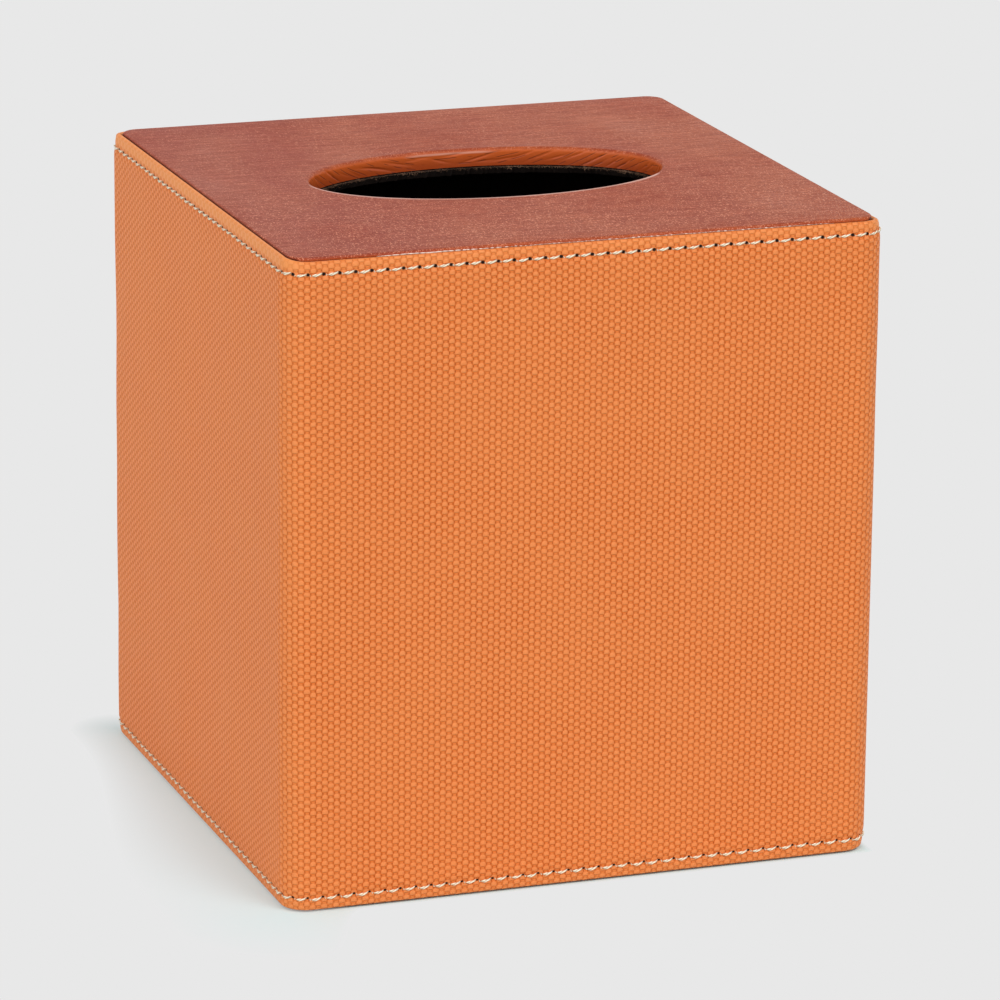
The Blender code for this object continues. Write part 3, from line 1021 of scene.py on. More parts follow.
@dataclass
class Sleeve:
    """The embossed sleeve: one strip folded over at its top and foot, sewn round the walls."""

    low: Vector
    high: Vector
    corner_radius: float = 6 * MM
    sheet: float = 0.6 * MM
    hem: float = 10 * MM
    hem_inset: float = 1.72 * MM
    lean: float = 0.45 * MM
    lean_reach: float = 4.2 * MM
    seam_gap: float = 0.4 * MM
    upper_row_down: float = 2.6 * MM
    lower_row_up: float = 2.9 * MM
    stitches_round: int = 152
    columns_per_stitch: int = 4
    row_step: float = 0.42 * MM
    valley: float = 0.20 * MM
    valley_width: float = 0.75 * MM
    pucker: float = 0.24 * MM
    pucker_width: float = 0.45 * MM
    unevenness: float = 0.10 * MM
    sink: float = 0.45 * MM
    lift: float = 0.50 * MM
    sink_below: float = 2.0 * MM
    fold_slack: float = 0.3 * MM
    dense_rows: int = 15
    sparse_rows: int = 16
    front_shares: tuple[float, float] = (0.115, 0.130)
    band_near: float = 0.2 * MM
    band_far: float = 1.6 * MM
    waves: float = 38 * MM
    padding_reach: float = 9 * MM
    least_dip: float = 0.04 * MM

    def __post_init__(self) -> None:
        """Work out the plan and the heights of the two seams."""
        self.plan = Plan(self.high.x, self.corner_radius)
        self.pitch = self.plan.length / self.stitches_round
        self.upper_row = self.high.z - self.upper_row_down
        self.lower_row = self.low.z + self.lower_row_up
        self.fold_radius = (self.hem_inset - self.lean) / 2
        self.section = self.make_section()
        _, z, way = self.section[self.section[:, 0] < self.fold_radius].T
        self.upper_way, self.lower_way = (float(np.interp(row, z, way))
                                          for row in (self.upper_row, self.lower_row))

    def rest_inset(self, z: Array) -> Array:
        """How far in the face lies at each height, away from the stitch holes.

        Args:
            z: The heights.

        Returns:
            The inset at each height.
        """
        top = self.high.z - self.fold_radius
        foot = self.low.z + self.fold_radius
        down = np.clip(1 - (top - z) / self.lean_reach, 0, 1)
        up = np.clip(1 - (z - foot) / self.lean_reach, 0, 1)
        seam = sum(np.exp(-((z - row) / self.valley_width) ** 2) for row in (self.upper_row, self.lower_row))
        return self.lean * (down**2 + up**2) + self.valley * seam

    def pucker_at(self, along: Array, z: Array) -> Array:
        """How much further in the face is drawn round each stitch hole.

        Args:
            along: The way round at each point.
            z: Its height.

        Returns:
            How much further in each point lies.
        """
        side = (np.mod(along / self.pitch + 0.5, 1) - 0.5) * self.pitch
        rise = np.minimum(abs(z - self.upper_row), abs(z - self.lower_row))
        return self.pucker * np.exp(-(side**2 + rise**2) / self.pucker_width**2)

    def sink_at(self, along: Array, z: Array) -> Array:
        """How far the top fold sinks on the right-hand side, under the skin. It stands up on the left.

        Args:
            along: The way round at each point.
            z: Its height.

        Returns:
            How far each point moves down, or up where it is below nought.
        """
        reach = self.plan.length / 8
        left, right = (1 - ease(abs(along - self.plan.length * share), reach - 6 * MM, reach + 3 * MM)
                       for share in (0.25, 0.75))
        shift = self.sink * right - self.lift * left
        return shift * ease(z, self.high.z - self.sink_below, self.high.z)

    def make_section(self) -> Array:
        """Inset, height and way along the sheet of each row, from the foot hem to the top hem.

        Returns:
            The three values of each row.
        """
        radius = self.fold_radius
        middle = self.hem_inset - radius
        top, foot = self.high.z - radius, self.low.z + radius
        dense = self.dense_rows
        rows = [(self.hem_inset, self.low.z + self.hem), (self.hem_inset, self.low.z + self.hem / 2)]
        rows += bow((middle, foot), radius, 0, -2, 8)
        heights = runs(foot, foot + dense * self.row_step, dense)
        heights += runs(heights[-1], top - dense * self.row_step, self.sparse_rows)
        heights += runs(heights[-1], top - self.row_step, dense - 1)
        rows += [(float(self.rest_inset(np.array(z))), z) for z in heights]
        rows += bow((middle, top), radius, 2, 0, 8)
        rows += [(self.hem_inset, self.high.z - self.hem / 2), (self.hem_inset, self.high.z - self.hem)]
        table = np.array(rows)
        steps = np.hypot(*np.diff(table, axis=0).T)
        return np.column_stack([table, np.concatenate([[0], np.cumsum(steps)])])

    def build(self, finish: Material) -> None:
        """Lay the strip round the walls, fold it and pucker it along its seams.

        Args:
            finish: The sleeve's material.
        """
        columns = self.stitches_round * self.columns_per_stitch
        rows = len(self.section) - 1
        table = self.section

        def along_at(column: Array) -> Array:
            """The way round at a column, leaving the seam's gap open."""
            return np.clip(column / columns * self.plan.length, self.seam_gap / 2,
                           self.plan.length - self.seam_gap / 2)

        def place(column: Array, row: Array) -> Array:
            """Where a point of the strip lies.

            Args:
                column: The column number of each point.
                row: Its row number.

            Returns:
                X, Y and Z of each point.
            """
            along = along_at(column)
            inset, z, _ = table[row.astype(int)].T
            outer = inset < self.hem_inset - 2 * self.fold_radius + self.fold_slack
            uneven = ripples(np.stack([along, z], axis=-1), self.waves, 11) * self.unevenness
            padded = ease(z, self.lower_row, self.lower_row + self.padding_reach)
            padded *= 1 - ease(z, self.upper_row - self.padding_reach, self.upper_row)
            drawn = self.pucker_at(along, z) + np.maximum(uneven * padded, -self.least_dip)
            inset = inset + np.where(outer, drawn, 0)
            return np.column_stack([self.plan.walk(along, inset), z - self.sink_at(along, z)])

        def wrap(column: Array, row: Array) -> Array:
            """The strip's own coordinates."""
            return np.column_stack([along_at(column), table[row.astype(int), 2]])

        piece = lay_sheet("embossed_sleeve", columns, rows, place, wrap)
        points = coordinates(piece)
        along = along_at(np.arange(len(points)) % (columns + 1))
        # The sheet is stretched next to both folds. The band above the upper seam, stronger on the sides, is
        # also painted light, and every side but the front gets painted sheen.
        front = 1 - ease(abs(along / self.plan.length - 0.5), *self.front_shares)
        upper, lower = self.upper_row, self.lower_row
        over = ease(points[:, 2], upper + self.band_near, upper + self.band_far)
        under = 1 - ease(points[:, 2], lower - self.band_far, lower - self.band_near)
        stretch_and_light_share = over * (0.85 - front * 0.55) + (under * 0.2 + (1 - front) * 0.14)
        mark(piece, stretch_and_light_share)
        settle(piece, finish, Body.COVER, "embossed_leatherette", "sleeve", thickness=self.sheet, degrees=60)


@dataclass
class Stitching:
    """The two rows of two-ply thread that hold the sleeve's hems."""

    sleeve: Sleeve
    radius: float = 0.30 * MM
    slant: float = 0.24 * MM
    start: float = 0.68 * MM
    end_before: float = 0.13 * MM
    rise: float = 0.20 * MM
    dive: float = 0.60 * MM
    half_turns: float = 1.6
    sides: int = 6
    rings: int = 9
    bead_start: float = 0.36 * MM
    bead_length: float = 0.40 * MM
    bead_radius: float = 0.22 * MM
    bead_drop: float = 0.12 * MM
    lower_sag: float = 0.24 * MM
    seed: int = 5
    wobble: tuple[float, float, float] = (0.05 * MM, 0.035 * MM, 0.02 * MM)

    def out_at(self, share: Array, radius: float) -> Array:
        """How far out of the sleeve a stretch of thread runs: up from one hole and down into the next."""
        return (self.rise - self.dive * abs(2 * share - 1) ** 5) * radius / self.radius

    def one_strand(self, sides: int, rings: int, start: float, length: float, radius: float,
                   slant: float, drop: float) -> tuple[Array, list, Array]:
        """Model one stretch of two-ply thread that dives into the sleeve at both ends.

        Args:
            sides: Faces round it.
            rings: Faces along it.
            start: Where it comes up, after the hole at nought.
            length: How far it runs.
            radius: Its greatest radius.
            slant: How far its ends lie below and above its middle.
            drop: How far its middle lies below the row.

        Returns:
            Its points, as ways along, up and out of the sleeve, its faces, and the depth of its grooves.
        """
        def place(column: Array, row: Array) -> Array:
            """A point on the thread: rings of two lobes that twist along it.

            Args:
                column: The column number of each point.
                row: Its row number.

            Returns:
                X, Y and Z of each point.
            """
            share = row / rings
            round_share = column / sides * TURN
            lobe = 0.74 + 0.26 * np.cos(round_share) ** 2
            thick = radius * lobe * np.sqrt(np.clip(1.02 - abs(2 * share - 1) ** 5, 0, 1))
            angle = round_share + share * self.half_turns * TURN / 2
            up = (2 * share - 1) * slant - drop
            out = self.out_at(share, radius)
            return np.column_stack([start + share * length, up + thick * np.sin(angle),
                                    out + thick * np.cos(angle)])

        strand = lay_sheet("strand", sides, rings, place, joined=True)
        edit_all(lambda: bpy.ops.mesh.fill_holes(sides=sides), face_outwards)
        points = coordinates(strand)
        faces = [tuple(face.vertices) for face in strand.data.polygons]
        bpy.data.objects.remove(strand)
        share = (points[:, 0] - start) / length
        middle = np.column_stack([(2 * share - 1) * slant - drop, self.out_at(share, radius)])
        groove = 1 - np.linalg.norm(points[:, 1:] - middle, axis=1) / radius
        return points, faces, np.clip(groove / 0.26, 0, 1)

    def one_stitch(self) -> tuple[Array, list, Array]:
        """Model a stitch from its hole to the next hole, with the loop of thread that shows by it.

        Returns:
            Its points, its faces and the depth of its grooves, as for one strand.
        """
        length = self.sleeve.pitch - self.end_before - self.start
        points, faces, grooves = self.one_strand(self.sides, self.rings, self.start, length, self.radius,
                                                 self.slant, 0.0)
        bead_points, bead_faces, bead_grooves = self.one_strand(4, 3, self.bead_start, self.bead_length,
                                                                self.bead_radius, 0.0, self.bead_drop)
        faces += [tuple(corner + len(points) for corner in face) for face in bead_faces]
        return np.concatenate([points, bead_points]), faces, np.concatenate([grooves, bead_grooves])

    def build(self, finish: Material) -> None:
        """Sew both rows, each thread bent round the plan and a little unlike its neighbours.

        Args:
            finish: The thread's material.
        """
        points, faces, grooves = self.one_stitch()
        draw = np.random.default_rng(self.seed)
        sleeve = self.sleeve
        middle = (sleeve.pitch + self.start - self.end_before) / 2
        hang = 1 - ((points[:, 0] - middle) / (sleeve.pitch / 2)) ** 2
        for name, row, sag in (("upper_stitching", sleeve.upper_row, 0.0),
                               ("lower_stitching", sleeve.lower_row, self.lower_sag)):
            laid, made = [], []
            inset = float(sleeve.rest_inset(np.array(row)))
            for count in range(sleeve.stitches_round):
                wobble = draw.normal(0, 1, 3) * self.wobble
                size = draw.uniform(0.93, 1.07)
                local = points * (1, size, size) + wobble
                along = np.mod(count * sleeve.pitch + local[:, 0], sleeve.plan.length)
                up = row + local[:, 1] - sag * hang
                laid.append(np.column_stack([sleeve.plan.walk(along, inset - local[:, 2]), up]))
                made += [tuple(corner + count * len(points) for corner in face) for face in faces]
            piece = assemble(name, np.concatenate(laid), made)
            # How deep each point lies in the groove, which the thread's material paints as shade.
            mark(piece, np.tile(grooves, sleeve.stitches_round))
            settle(piece, finish, Body.COVER, None, degrees=75)


@dataclass
class TopPanel:
    """The smooth skin over the top: turned down round its edge and into the oval mouth."""

    low: Vector
    high: Vector
    lip_foot: float
    mouth: Oval
    corner_radius: float = 4 * MM
    sheet: float = 0.68 * MM
    edge_radius: float = 0.5 * MM
    lip_radius: float = 1.0 * MM
    columns: int = 900
    top_rows: int = 10
    wall_rows: int = 18
    unevenness: float = 0.06 * MM
    crease_depth: float = 0.20 * MM
    crease_width: float = 0.2 * MM
    creases: int = 64
    crease_depths: tuple[float, float] = (1.4, 3.8)
    crease_lengths: tuple[float, float] = (2.5, 6.5)
    end_slope: float = 0.65
    skirt_bend: float = 1.3 * MM
    lip_reach: float = 1.003
    seed: int = 23

    def build(self, finish: Material) -> None:
        """Loft the skin from the skirt to the foot of the lip, then crease the lip.

        Args:
            finish: The skin's material.
        """
        plan = Plan(self.high.x, self.corner_radius)
        top = self.high.z
        skirt = [(0.0, self.low.z), (0.0, (self.low.z + top) / 2), (0.0, top - self.skirt_bend)]
        skirt += bow((self.edge_radius, top - self.edge_radius), self.edge_radius, 2, 1, 6)
        lip = bow((self.lip_radius, top - self.lip_radius), self.lip_radius, 1, 2, 6)
        lip += [(0.0, z) for z in runs(top - self.lip_radius, self.lip_foot, self.wall_rows)]
        rows = len(skirt) + self.top_rows + len(lip) - 2
        lip_way = np.cumsum([0, *np.hypot(*np.diff(np.array(lip), axis=0).T)])
        skirt_way = np.cumsum([0, *np.hypot(*np.diff(np.array(skirt[::-1]), axis=0).T)])[::-1]
        draw = np.random.default_rng(self.seed)
        folds = [((count + draw.uniform(0, 1)) / self.creases, draw.uniform(*self.crease_depths) * MM,
                  draw.uniform(*self.crease_lengths) * MM, draw.normal(0.0, 0.12), draw.uniform(0.3, 1.0))
                 for count in range(self.creases)]
        round_mouth = math.pi * (self.mouth.half_length + self.mouth.half_width)
        first_lip_row = rows + 1 - len(lip)

        def lip_row(row: Array) -> Array:
            """The row of the lip at each row of the skin, or its first."""
            return np.clip(row - first_lip_row, 0, len(lip) - 1)

        def crease(share: Array, depth: Array) -> Array:
            """How deep the leatherette is creased at a place on the lip.

            Args:
                share: The share of the way round the mouth.
                depth: The way down from the rim, along the skin.

            Returns:
                How strongly each place is creased, up to 1.2.
            """
            total = np.zeros(len(share))
            for middle, down, length, slope, strength in folds:
                side = (np.mod(share - middle + 0.5, 1) - 0.5) * round_mouth
                slope = slope - self.end_slope * math.sin(TURN * middle)
                off = (depth - down - slope * side) / self.crease_width
                total += strength * np.exp(-(off**2) - (side / length * 2) ** 2)
            return np.minimum(total, 1.2)

        def place(column: Array, row: Array) -> Array:
            """Where a point of the skin lies.

            Args:
                column: The column number of each point.
                row: Its row number.

            Returns:
                X, Y and Z of each point.
            """
            share = column / self.columns
            row = row.astype(int)
            along = share * plan.length
            outer = np.array(skirt + [skirt[-1]] * (rows + 1 - len(skirt)))[row]
            inner_row = lip_row(row)
            inner = np.array(lip)[inner_row]
            square = plan.walk(along, outer[:, 0])
            folded = crease(share, lip_way[inner_row]) * self.crease_depth * (inner_row > 1)
            oval = self.mouth.walk(share, inner[:, 0] + folded)
            blend = 1 - (1 - np.clip((row - len(skirt) + 1) / self.top_rows, 0, 1)[:, None]) ** 1.6
            xy = square * (1 - blend) + oval * blend
            z = np.where(row < len(skirt), outer[:, 1], inner[:, 1])
            flat = (blend[:, 0] > 0) & (blend[:, 0] < 1)
            dip = ripples(xy, 30 * MM, 31) * self.unevenness - self.unevenness
            return np.column_stack([xy, z + np.where(flat, dip, 0)])

        def wrap(column: Array, row: Array) -> Array:
            """The skin's own coordinates: the way round the mouth, and down from its rim.

            Args:
                column: The column number of each point.
                row: Its row number.

            Returns:
                Both coordinates of each point, in metres.
            """
            row = row.astype(int)
            depth = lip_way[lip_row(row)] - skirt_way[np.clip(row, 0, len(skirt) - 1)]
            return np.column_stack([column / self.columns * round_mouth, depth])

        piece = lay_sheet("top_panel_skin", self.columns, rows, place, wrap, joined=True)
        points = coordinates(piece)
        x, y, z = points.T
        near_mouth = self.mouth.reach(points) < 1.3
        # Bends: stretch, with stronger painted light on the lit front of the skirt.
        front = ease(-y, self.high.y - 4 * MM, self.high.y - 1 * MM)
        mark(piece, ease(top - z, 0.16 * MM, 0.8 * MM) * np.where(near_mouth, 1.0, 0.25 + 0.5 * front))
        depth = np.interp(top - z, [top - height for _, height in lip], lip_way)
        # Painted highlights: a pale line along the near rim, and a patch of shine high on the far lip.
        rim_highlight = ease(-y - x * 0.14, 3 * MM, 9 * MM) * (depth < 0.2 * MM)
        shine = ease(x, -18 * MM, -8 * MM) * ease(-x, -18 * MM, -6 * MM)
        shine *= ease(depth, 0.8 * MM, 1.2 * MM) * (1 - ease(depth, 1.5 * MM, 2.1 * MM)) * (y > 0)
        on_lip = self.mouth.reach(points, self.lip_radius) < self.lip_reach
        mark(piece, (rim_highlight * 0.8 + shine * 0.52) * on_lip, RIM_HIGHLIGHT)
        settle(piece, finish, Body.COVER, "smooth_leatherette", "top_skin", thickness=self.sheet, degrees=60)


@dataclass
class GlueAndHighlightLine:
    """A pale sliver in the joint between the skin and the sleeve, at the front: dried glue at its left end,
    and a painted highlight on the sleeve's fold where it runs as a hairline to the right.
    """

    y: float
    z: float
    start: float = -47 * MM
    end: float = 55 * MM
    radius: float = 0.11 * MM
    sides: int = 6
    rings: int = 440
    bead_share: float = 0.012
    wander_share: float = 0.07

    def build(self, finish: Material) -> None:
        """Run the sliver along the joint, thick at its left end and a hairline of painted highlight towards
        its right end.

        Args:
            finish: The material of the glue and of the painted highlight.
        """

        def place(column: Array, row: Array) -> Array:
            """A point on the sliver.

            Args:
                column: The column number of each point.
                row: Its row number.

            Returns:
                X, Y and Z of each point.
            """
            share = row / self.rings
            beads = 1.3 + ripples(share[:, None], self.bead_share, 17) - ease(share, 0.12, 0.33) * 1.2
            beads = np.clip(beads, 0.1 + 0.15 * ease(share, 0.3, 0.36), 1.3)
            thick = self.radius * beads * np.sqrt(np.clip(1 - abs(2 * share - 1) ** 12, 0, 1))
            angle = TURN * column / self.sides
            x = self.start + share * (self.end - self.start)
            wander = ripples(share[:, None], self.wander_share, 19) * self.radius * 0.25
            y = self.y + thick * np.cos(angle)
            return np.column_stack([x, y, self.z + wander + thick * np.sin(angle)])

        piece = lay_sheet("glue_line", self.sides, self.rings, place, joined=True)
        edit_all(face_outwards)
        settle(piece, finish, Body.COVER, None, degrees=60)


@dataclass
class MouthLining:
    """The velvet under the top board, whose cut edge shows fuzzy below the lip."""

    low: Vector
    high: Vector
    mouth: Oval
    corner_radius: float = 0.6 * MM
    columns: int = 480
    rows: int = 12
    fray: float = 0.22 * MM
    undercut: float = 0.8 * MM
    ledge: float = 0.7 * MM
    tufts: int = 4200
    tuft_length: float = 0.75 * MM
    tuft_width: float = 0.07 * MM
    drop: float = 0.10 * MM
    clump_share: float = 0.02
    nap_depth: float = 0.05 * MM
    nap_waves: float = 1.6 * MM
    seed: int = 41

    def build(self, velvet: Material, cut_edge: Material) -> None:
        """Lay the lining and fray its edge.

        Args:
            velvet: The lining's material.
            cut_edge: The material of the fibres at its edge.
        """
        plan = Plan(self.high.x, self.corner_radius)

        def place(column: Array, row: Array) -> Array:
            """Where a point of the lining lies, from the walls to the mouth.

            Args:
                column: The column number of each point.
                row: Its row number.

            Returns:
                X, Y and Z of each point.
            """
            share = column / self.columns
            blend = (row / self.rows)[:, None]
            ragged = ripples(np.stack([share * 6, row * 0], axis=-1), 0.03, 7) * self.fray
            xy = plan.walk(share * plan.length) * (1 - blend)
            xy += self.mouth.walk(share, ragged * (row == self.rows)) * blend
            return np.column_stack([xy, np.full(len(xy), self.high.z)])

        piece = lay_sheet("mouth_lining", self.columns, self.rows, place, joined=True)
        thicken(piece, self.high.z - self.low.z)
        points = coordinates(piece)
        under = (points[:, 2] < self.high.z - 0.5 * MM) & (self.mouth.reach(points) < 1.03)
        points[under, :2] *= 1 + self.undercut / self.mouth.half_width
        move_points(piece, points)
        roughen(piece, self.nap_depth, self.nap_waves, 43)
        settle(piece, velvet, Body.COVER, "velvet", "top_lining", degrees=50)
        self.build_fuzz(cut_edge)

    def build_fuzz(self, finish: Material) -> None:
        """Short cut fibres that stand out of the lining's edge, each a thin spike of four faces.

        Args:
            finish: The fibres' material.
        """
        draw = np.random.default_rng(self.seed)
        count = self.tufts
        share = draw.uniform(0, 1, count)
        ledge = draw.uniform(-0.5, 1.0, count) * self.ledge
        root_z = self.high.z - draw.exponential(self.drop, count) * (ledge < 0)
        root = np.column_stack([self.mouth.walk(share, np.maximum(ledge, 0)), root_z])
        inward = -root[:, :2] / np.linalg.norm(root[:, :2], axis=1)[:, None]
        lean = np.column_stack([inward, np.zeros(count)]) * 0.7 + draw.normal(0, 0.7, (count, 3))
        lean[:, 2] = np.where(ledge < 0, np.clip(lean[:, 2], -0.8, 0.6), abs(lean[:, 2]) * 0.5 + 0.15)
        lean /= np.linalg.norm(lean, axis=1)[:, None]
        clump = np.clip(0.75 + 0.45 * ripples(share[:, None], self.clump_share, 47), 0.15, 1.3)
        length = self.tuft_length * draw.uniform(0.3, 1.0, count) ** 1.5 * clump
        tip = root + lean * length[:, None]
        side = np.cross(lean, (0, 0, 1.0))
        side /= np.linalg.norm(side, axis=1)[:, None]
        rise = np.cross(side, lean)
        corners = [root + (side * math.cos(a) + rise * math.sin(a)) * self.tuft_width
                   for a in (0, TURN / 3, TURN * 2 / 3)]
        points = np.stack([*corners, tip], axis=1).reshape(-1, 3)
        faces = []
        for first in range(0, count * 4, 4):
            faces += [(first, first + 2, first + 1)]
            faces += [(first + a, first + b, first + 3) for a, b in ((0, 1), (1, 2), (2, 0))]
        # The fibres are paler than the velvet: their own cut ends, and painted light along the lit top of the
        # cut edge.
        settle(assemble("mouth_fuzz", points, faces), finish, Body.COVER, "velvet")


@dataclass
class Interior:
    """The velvet liners on the walls and the foam under the sleeve."""

    liner_edge: float = 0.9 * MM
    nap_depth: float = 0.05 * MM
    nap_waves: float = 9 * MM
    clearance: float = 0.3 * MM
    foam_radius: float = 5 * MM
    foam_thickness: float = 0.62 * MM
    foam_edge: float = 0.15 * MM
    foam_columns: int = 240
    foam_rows: int = 24

    def build_liners(self, velvet: Material) -> None:
        """Wrap each wall liner in velvet, its edges rounded by the cloth.

        Args:
            velvet: The liners' material.
        """
        for wall in ("back", "front", "left", "right"):
            low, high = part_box(f"{wall}_liner")
            piece = block(f"{wall}_velvet_liner", low, high)
            edit_all(lambda: bpy.ops.mesh.bevel(offset=self.liner_edge, segments=3, affect="EDGES",
                                                clamp_overlap=True))
            edit_all(lambda: bpy.ops.mesh.subdivide(number_cuts=2))
            roughen(piece, self.nap_depth, self.nap_waves, 51)
            if wall == "back":
                recess = self.make_recess(low, high)
                modify(piece, "BOOLEAN", operation="DIFFERENCE", object=recess, solver="EXACT")
                bpy.data.objects.remove(recess)
            settle(piece, velvet, Body.COVER, "velvet", f"{wall}_liner", degrees=50)

    def make_recess(self, low: Vector, high: Vector) -> Piece:
        """The space behind the back liner's foot that the hinge strip runs up in.

        Args:
            low: The liner's lowest corner.
            high: Its highest corner.

        Returns:
            The space, as a block to cut with.
        """
        leaf_low, leaf_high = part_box("wall_hinge_leaf")
        gap = Vector((self.clearance,) * 3)
        start = Vector((leaf_low.x, leaf_low.y + 2 * self.clearance, low.z - 1 * MM)) - gap
        end = Vector((leaf_high.x, high.y + 1 * MM, leaf_high.z)) + gap
        return block("recess", start, end)

    def build_foam(self, foam: Material) -> None:
        """The thin foam between the sleeve's two hems.

        Args:
            foam: The foam's material.
        """
        low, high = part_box("sleeve_padding")
        plan = Plan(high.x, self.foam_radius)
        columns, rows = self.foam_columns, self.foam_rows

        def place(column: Array, row: Array) -> Array:
            """Where a point of the foam lies.

            Args:
                column: The column number of each point.
                row: Its row number.

            Returns:
                X, Y and Z of each point.
            """
            z = low.z + row / rows * (high.z - low.z)
            inset = np.where(np.minimum(row, rows - row) < 1, self.foam_edge, 0.0)
            return np.column_stack([plan.walk(column / columns * plan.length, inset), z])

        piece = lay_sheet("foam_wrap", columns, rows, place, joined=True)
        settle(piece, foam, Body.COVER, "foam", "sleeve_padding", thickness=self.foam_thickness, degrees=50)


@dataclass
class FootBinding:
    """The strip folded round the bottom edge of the boards, which the cover stands on."""

    high: Vector
    inner_top: float
    width: float = 6 * MM
    corner_radius: float = 4 * MM
    sheet: float = 0.66 * MM
    bend_radius: float = 1 * MM
    mitre: float = 0.22 * MM
    mitre_width: float = 0.8 * MM
    seam_gap: float = 0.2 * MM
    unevenness: float = 0.03 * MM
    waves: float = 9 * MM
    columns: int = 520

    def build(self, finish: Material) -> None:
        """Lay the strip from the inner leg's top, under the boards, to the outer leg's top.

        Args:
            finish: The binding's material.
        """
        plan = Plan(self.high.x, self.corner_radius)
        radius = self.bend_radius
        section = [(0.0, self.high.z), (0.0, self.high.z / 2)]
        section += bow((radius, radius), radius, 2, 3, 5)
        section += [(inset, 0.0) for inset in runs(radius, self.width - radius, 4)]
        section += bow((self.width - radius, radius), radius, 3, 4, 5)[1:]
        section += [(self.width, z) for z in runs(radius, self.inner_top, 3)]
        table = np.array(section[::-1])

        def place(column: Array, row: Array) -> Array:
            """Where a point of the strip lies.

            Args:
                column: The column number of each point.
                row: Its row number.

            Returns:
                X, Y and Z of each point.
            """
            along = np.clip(column / self.columns * plan.length, self.seam_gap / 2,
                            plan.length - self.seam_gap / 2)
            inset, z = table[row.astype(int)].T
            from_corner = abs(np.mod(along, plan.length / 4) - plan.length / 8)
            pinch = self.mitre * np.exp(-((from_corner / self.mitre_width) ** 2))
            uneven = ripples(np.stack([along, inset], axis=-1), self.waves, 61) + 1
            lift = (pinch + np.maximum(uneven, 0) * self.unevenness) * (1 - ease(z, 0, radius))
            return np.column_stack([plan.walk(along, inset), z + lift])

        piece = lay_sheet("folded_foot_binding", self.columns, len(table) - 1, place)
        points = coordinates(piece)
        bent = np.exp(-(((points[:, 2] - 0.4 * radius) / (0.5 * radius)) ** 2))
        # Lighter on the bend: stretch, with painted light.
        mark(piece, bent * 0.45)
        settle(piece, finish, Body.COVER, "smooth_leatherette", "foot_binding", thickness=self.sheet,
               degrees=50)


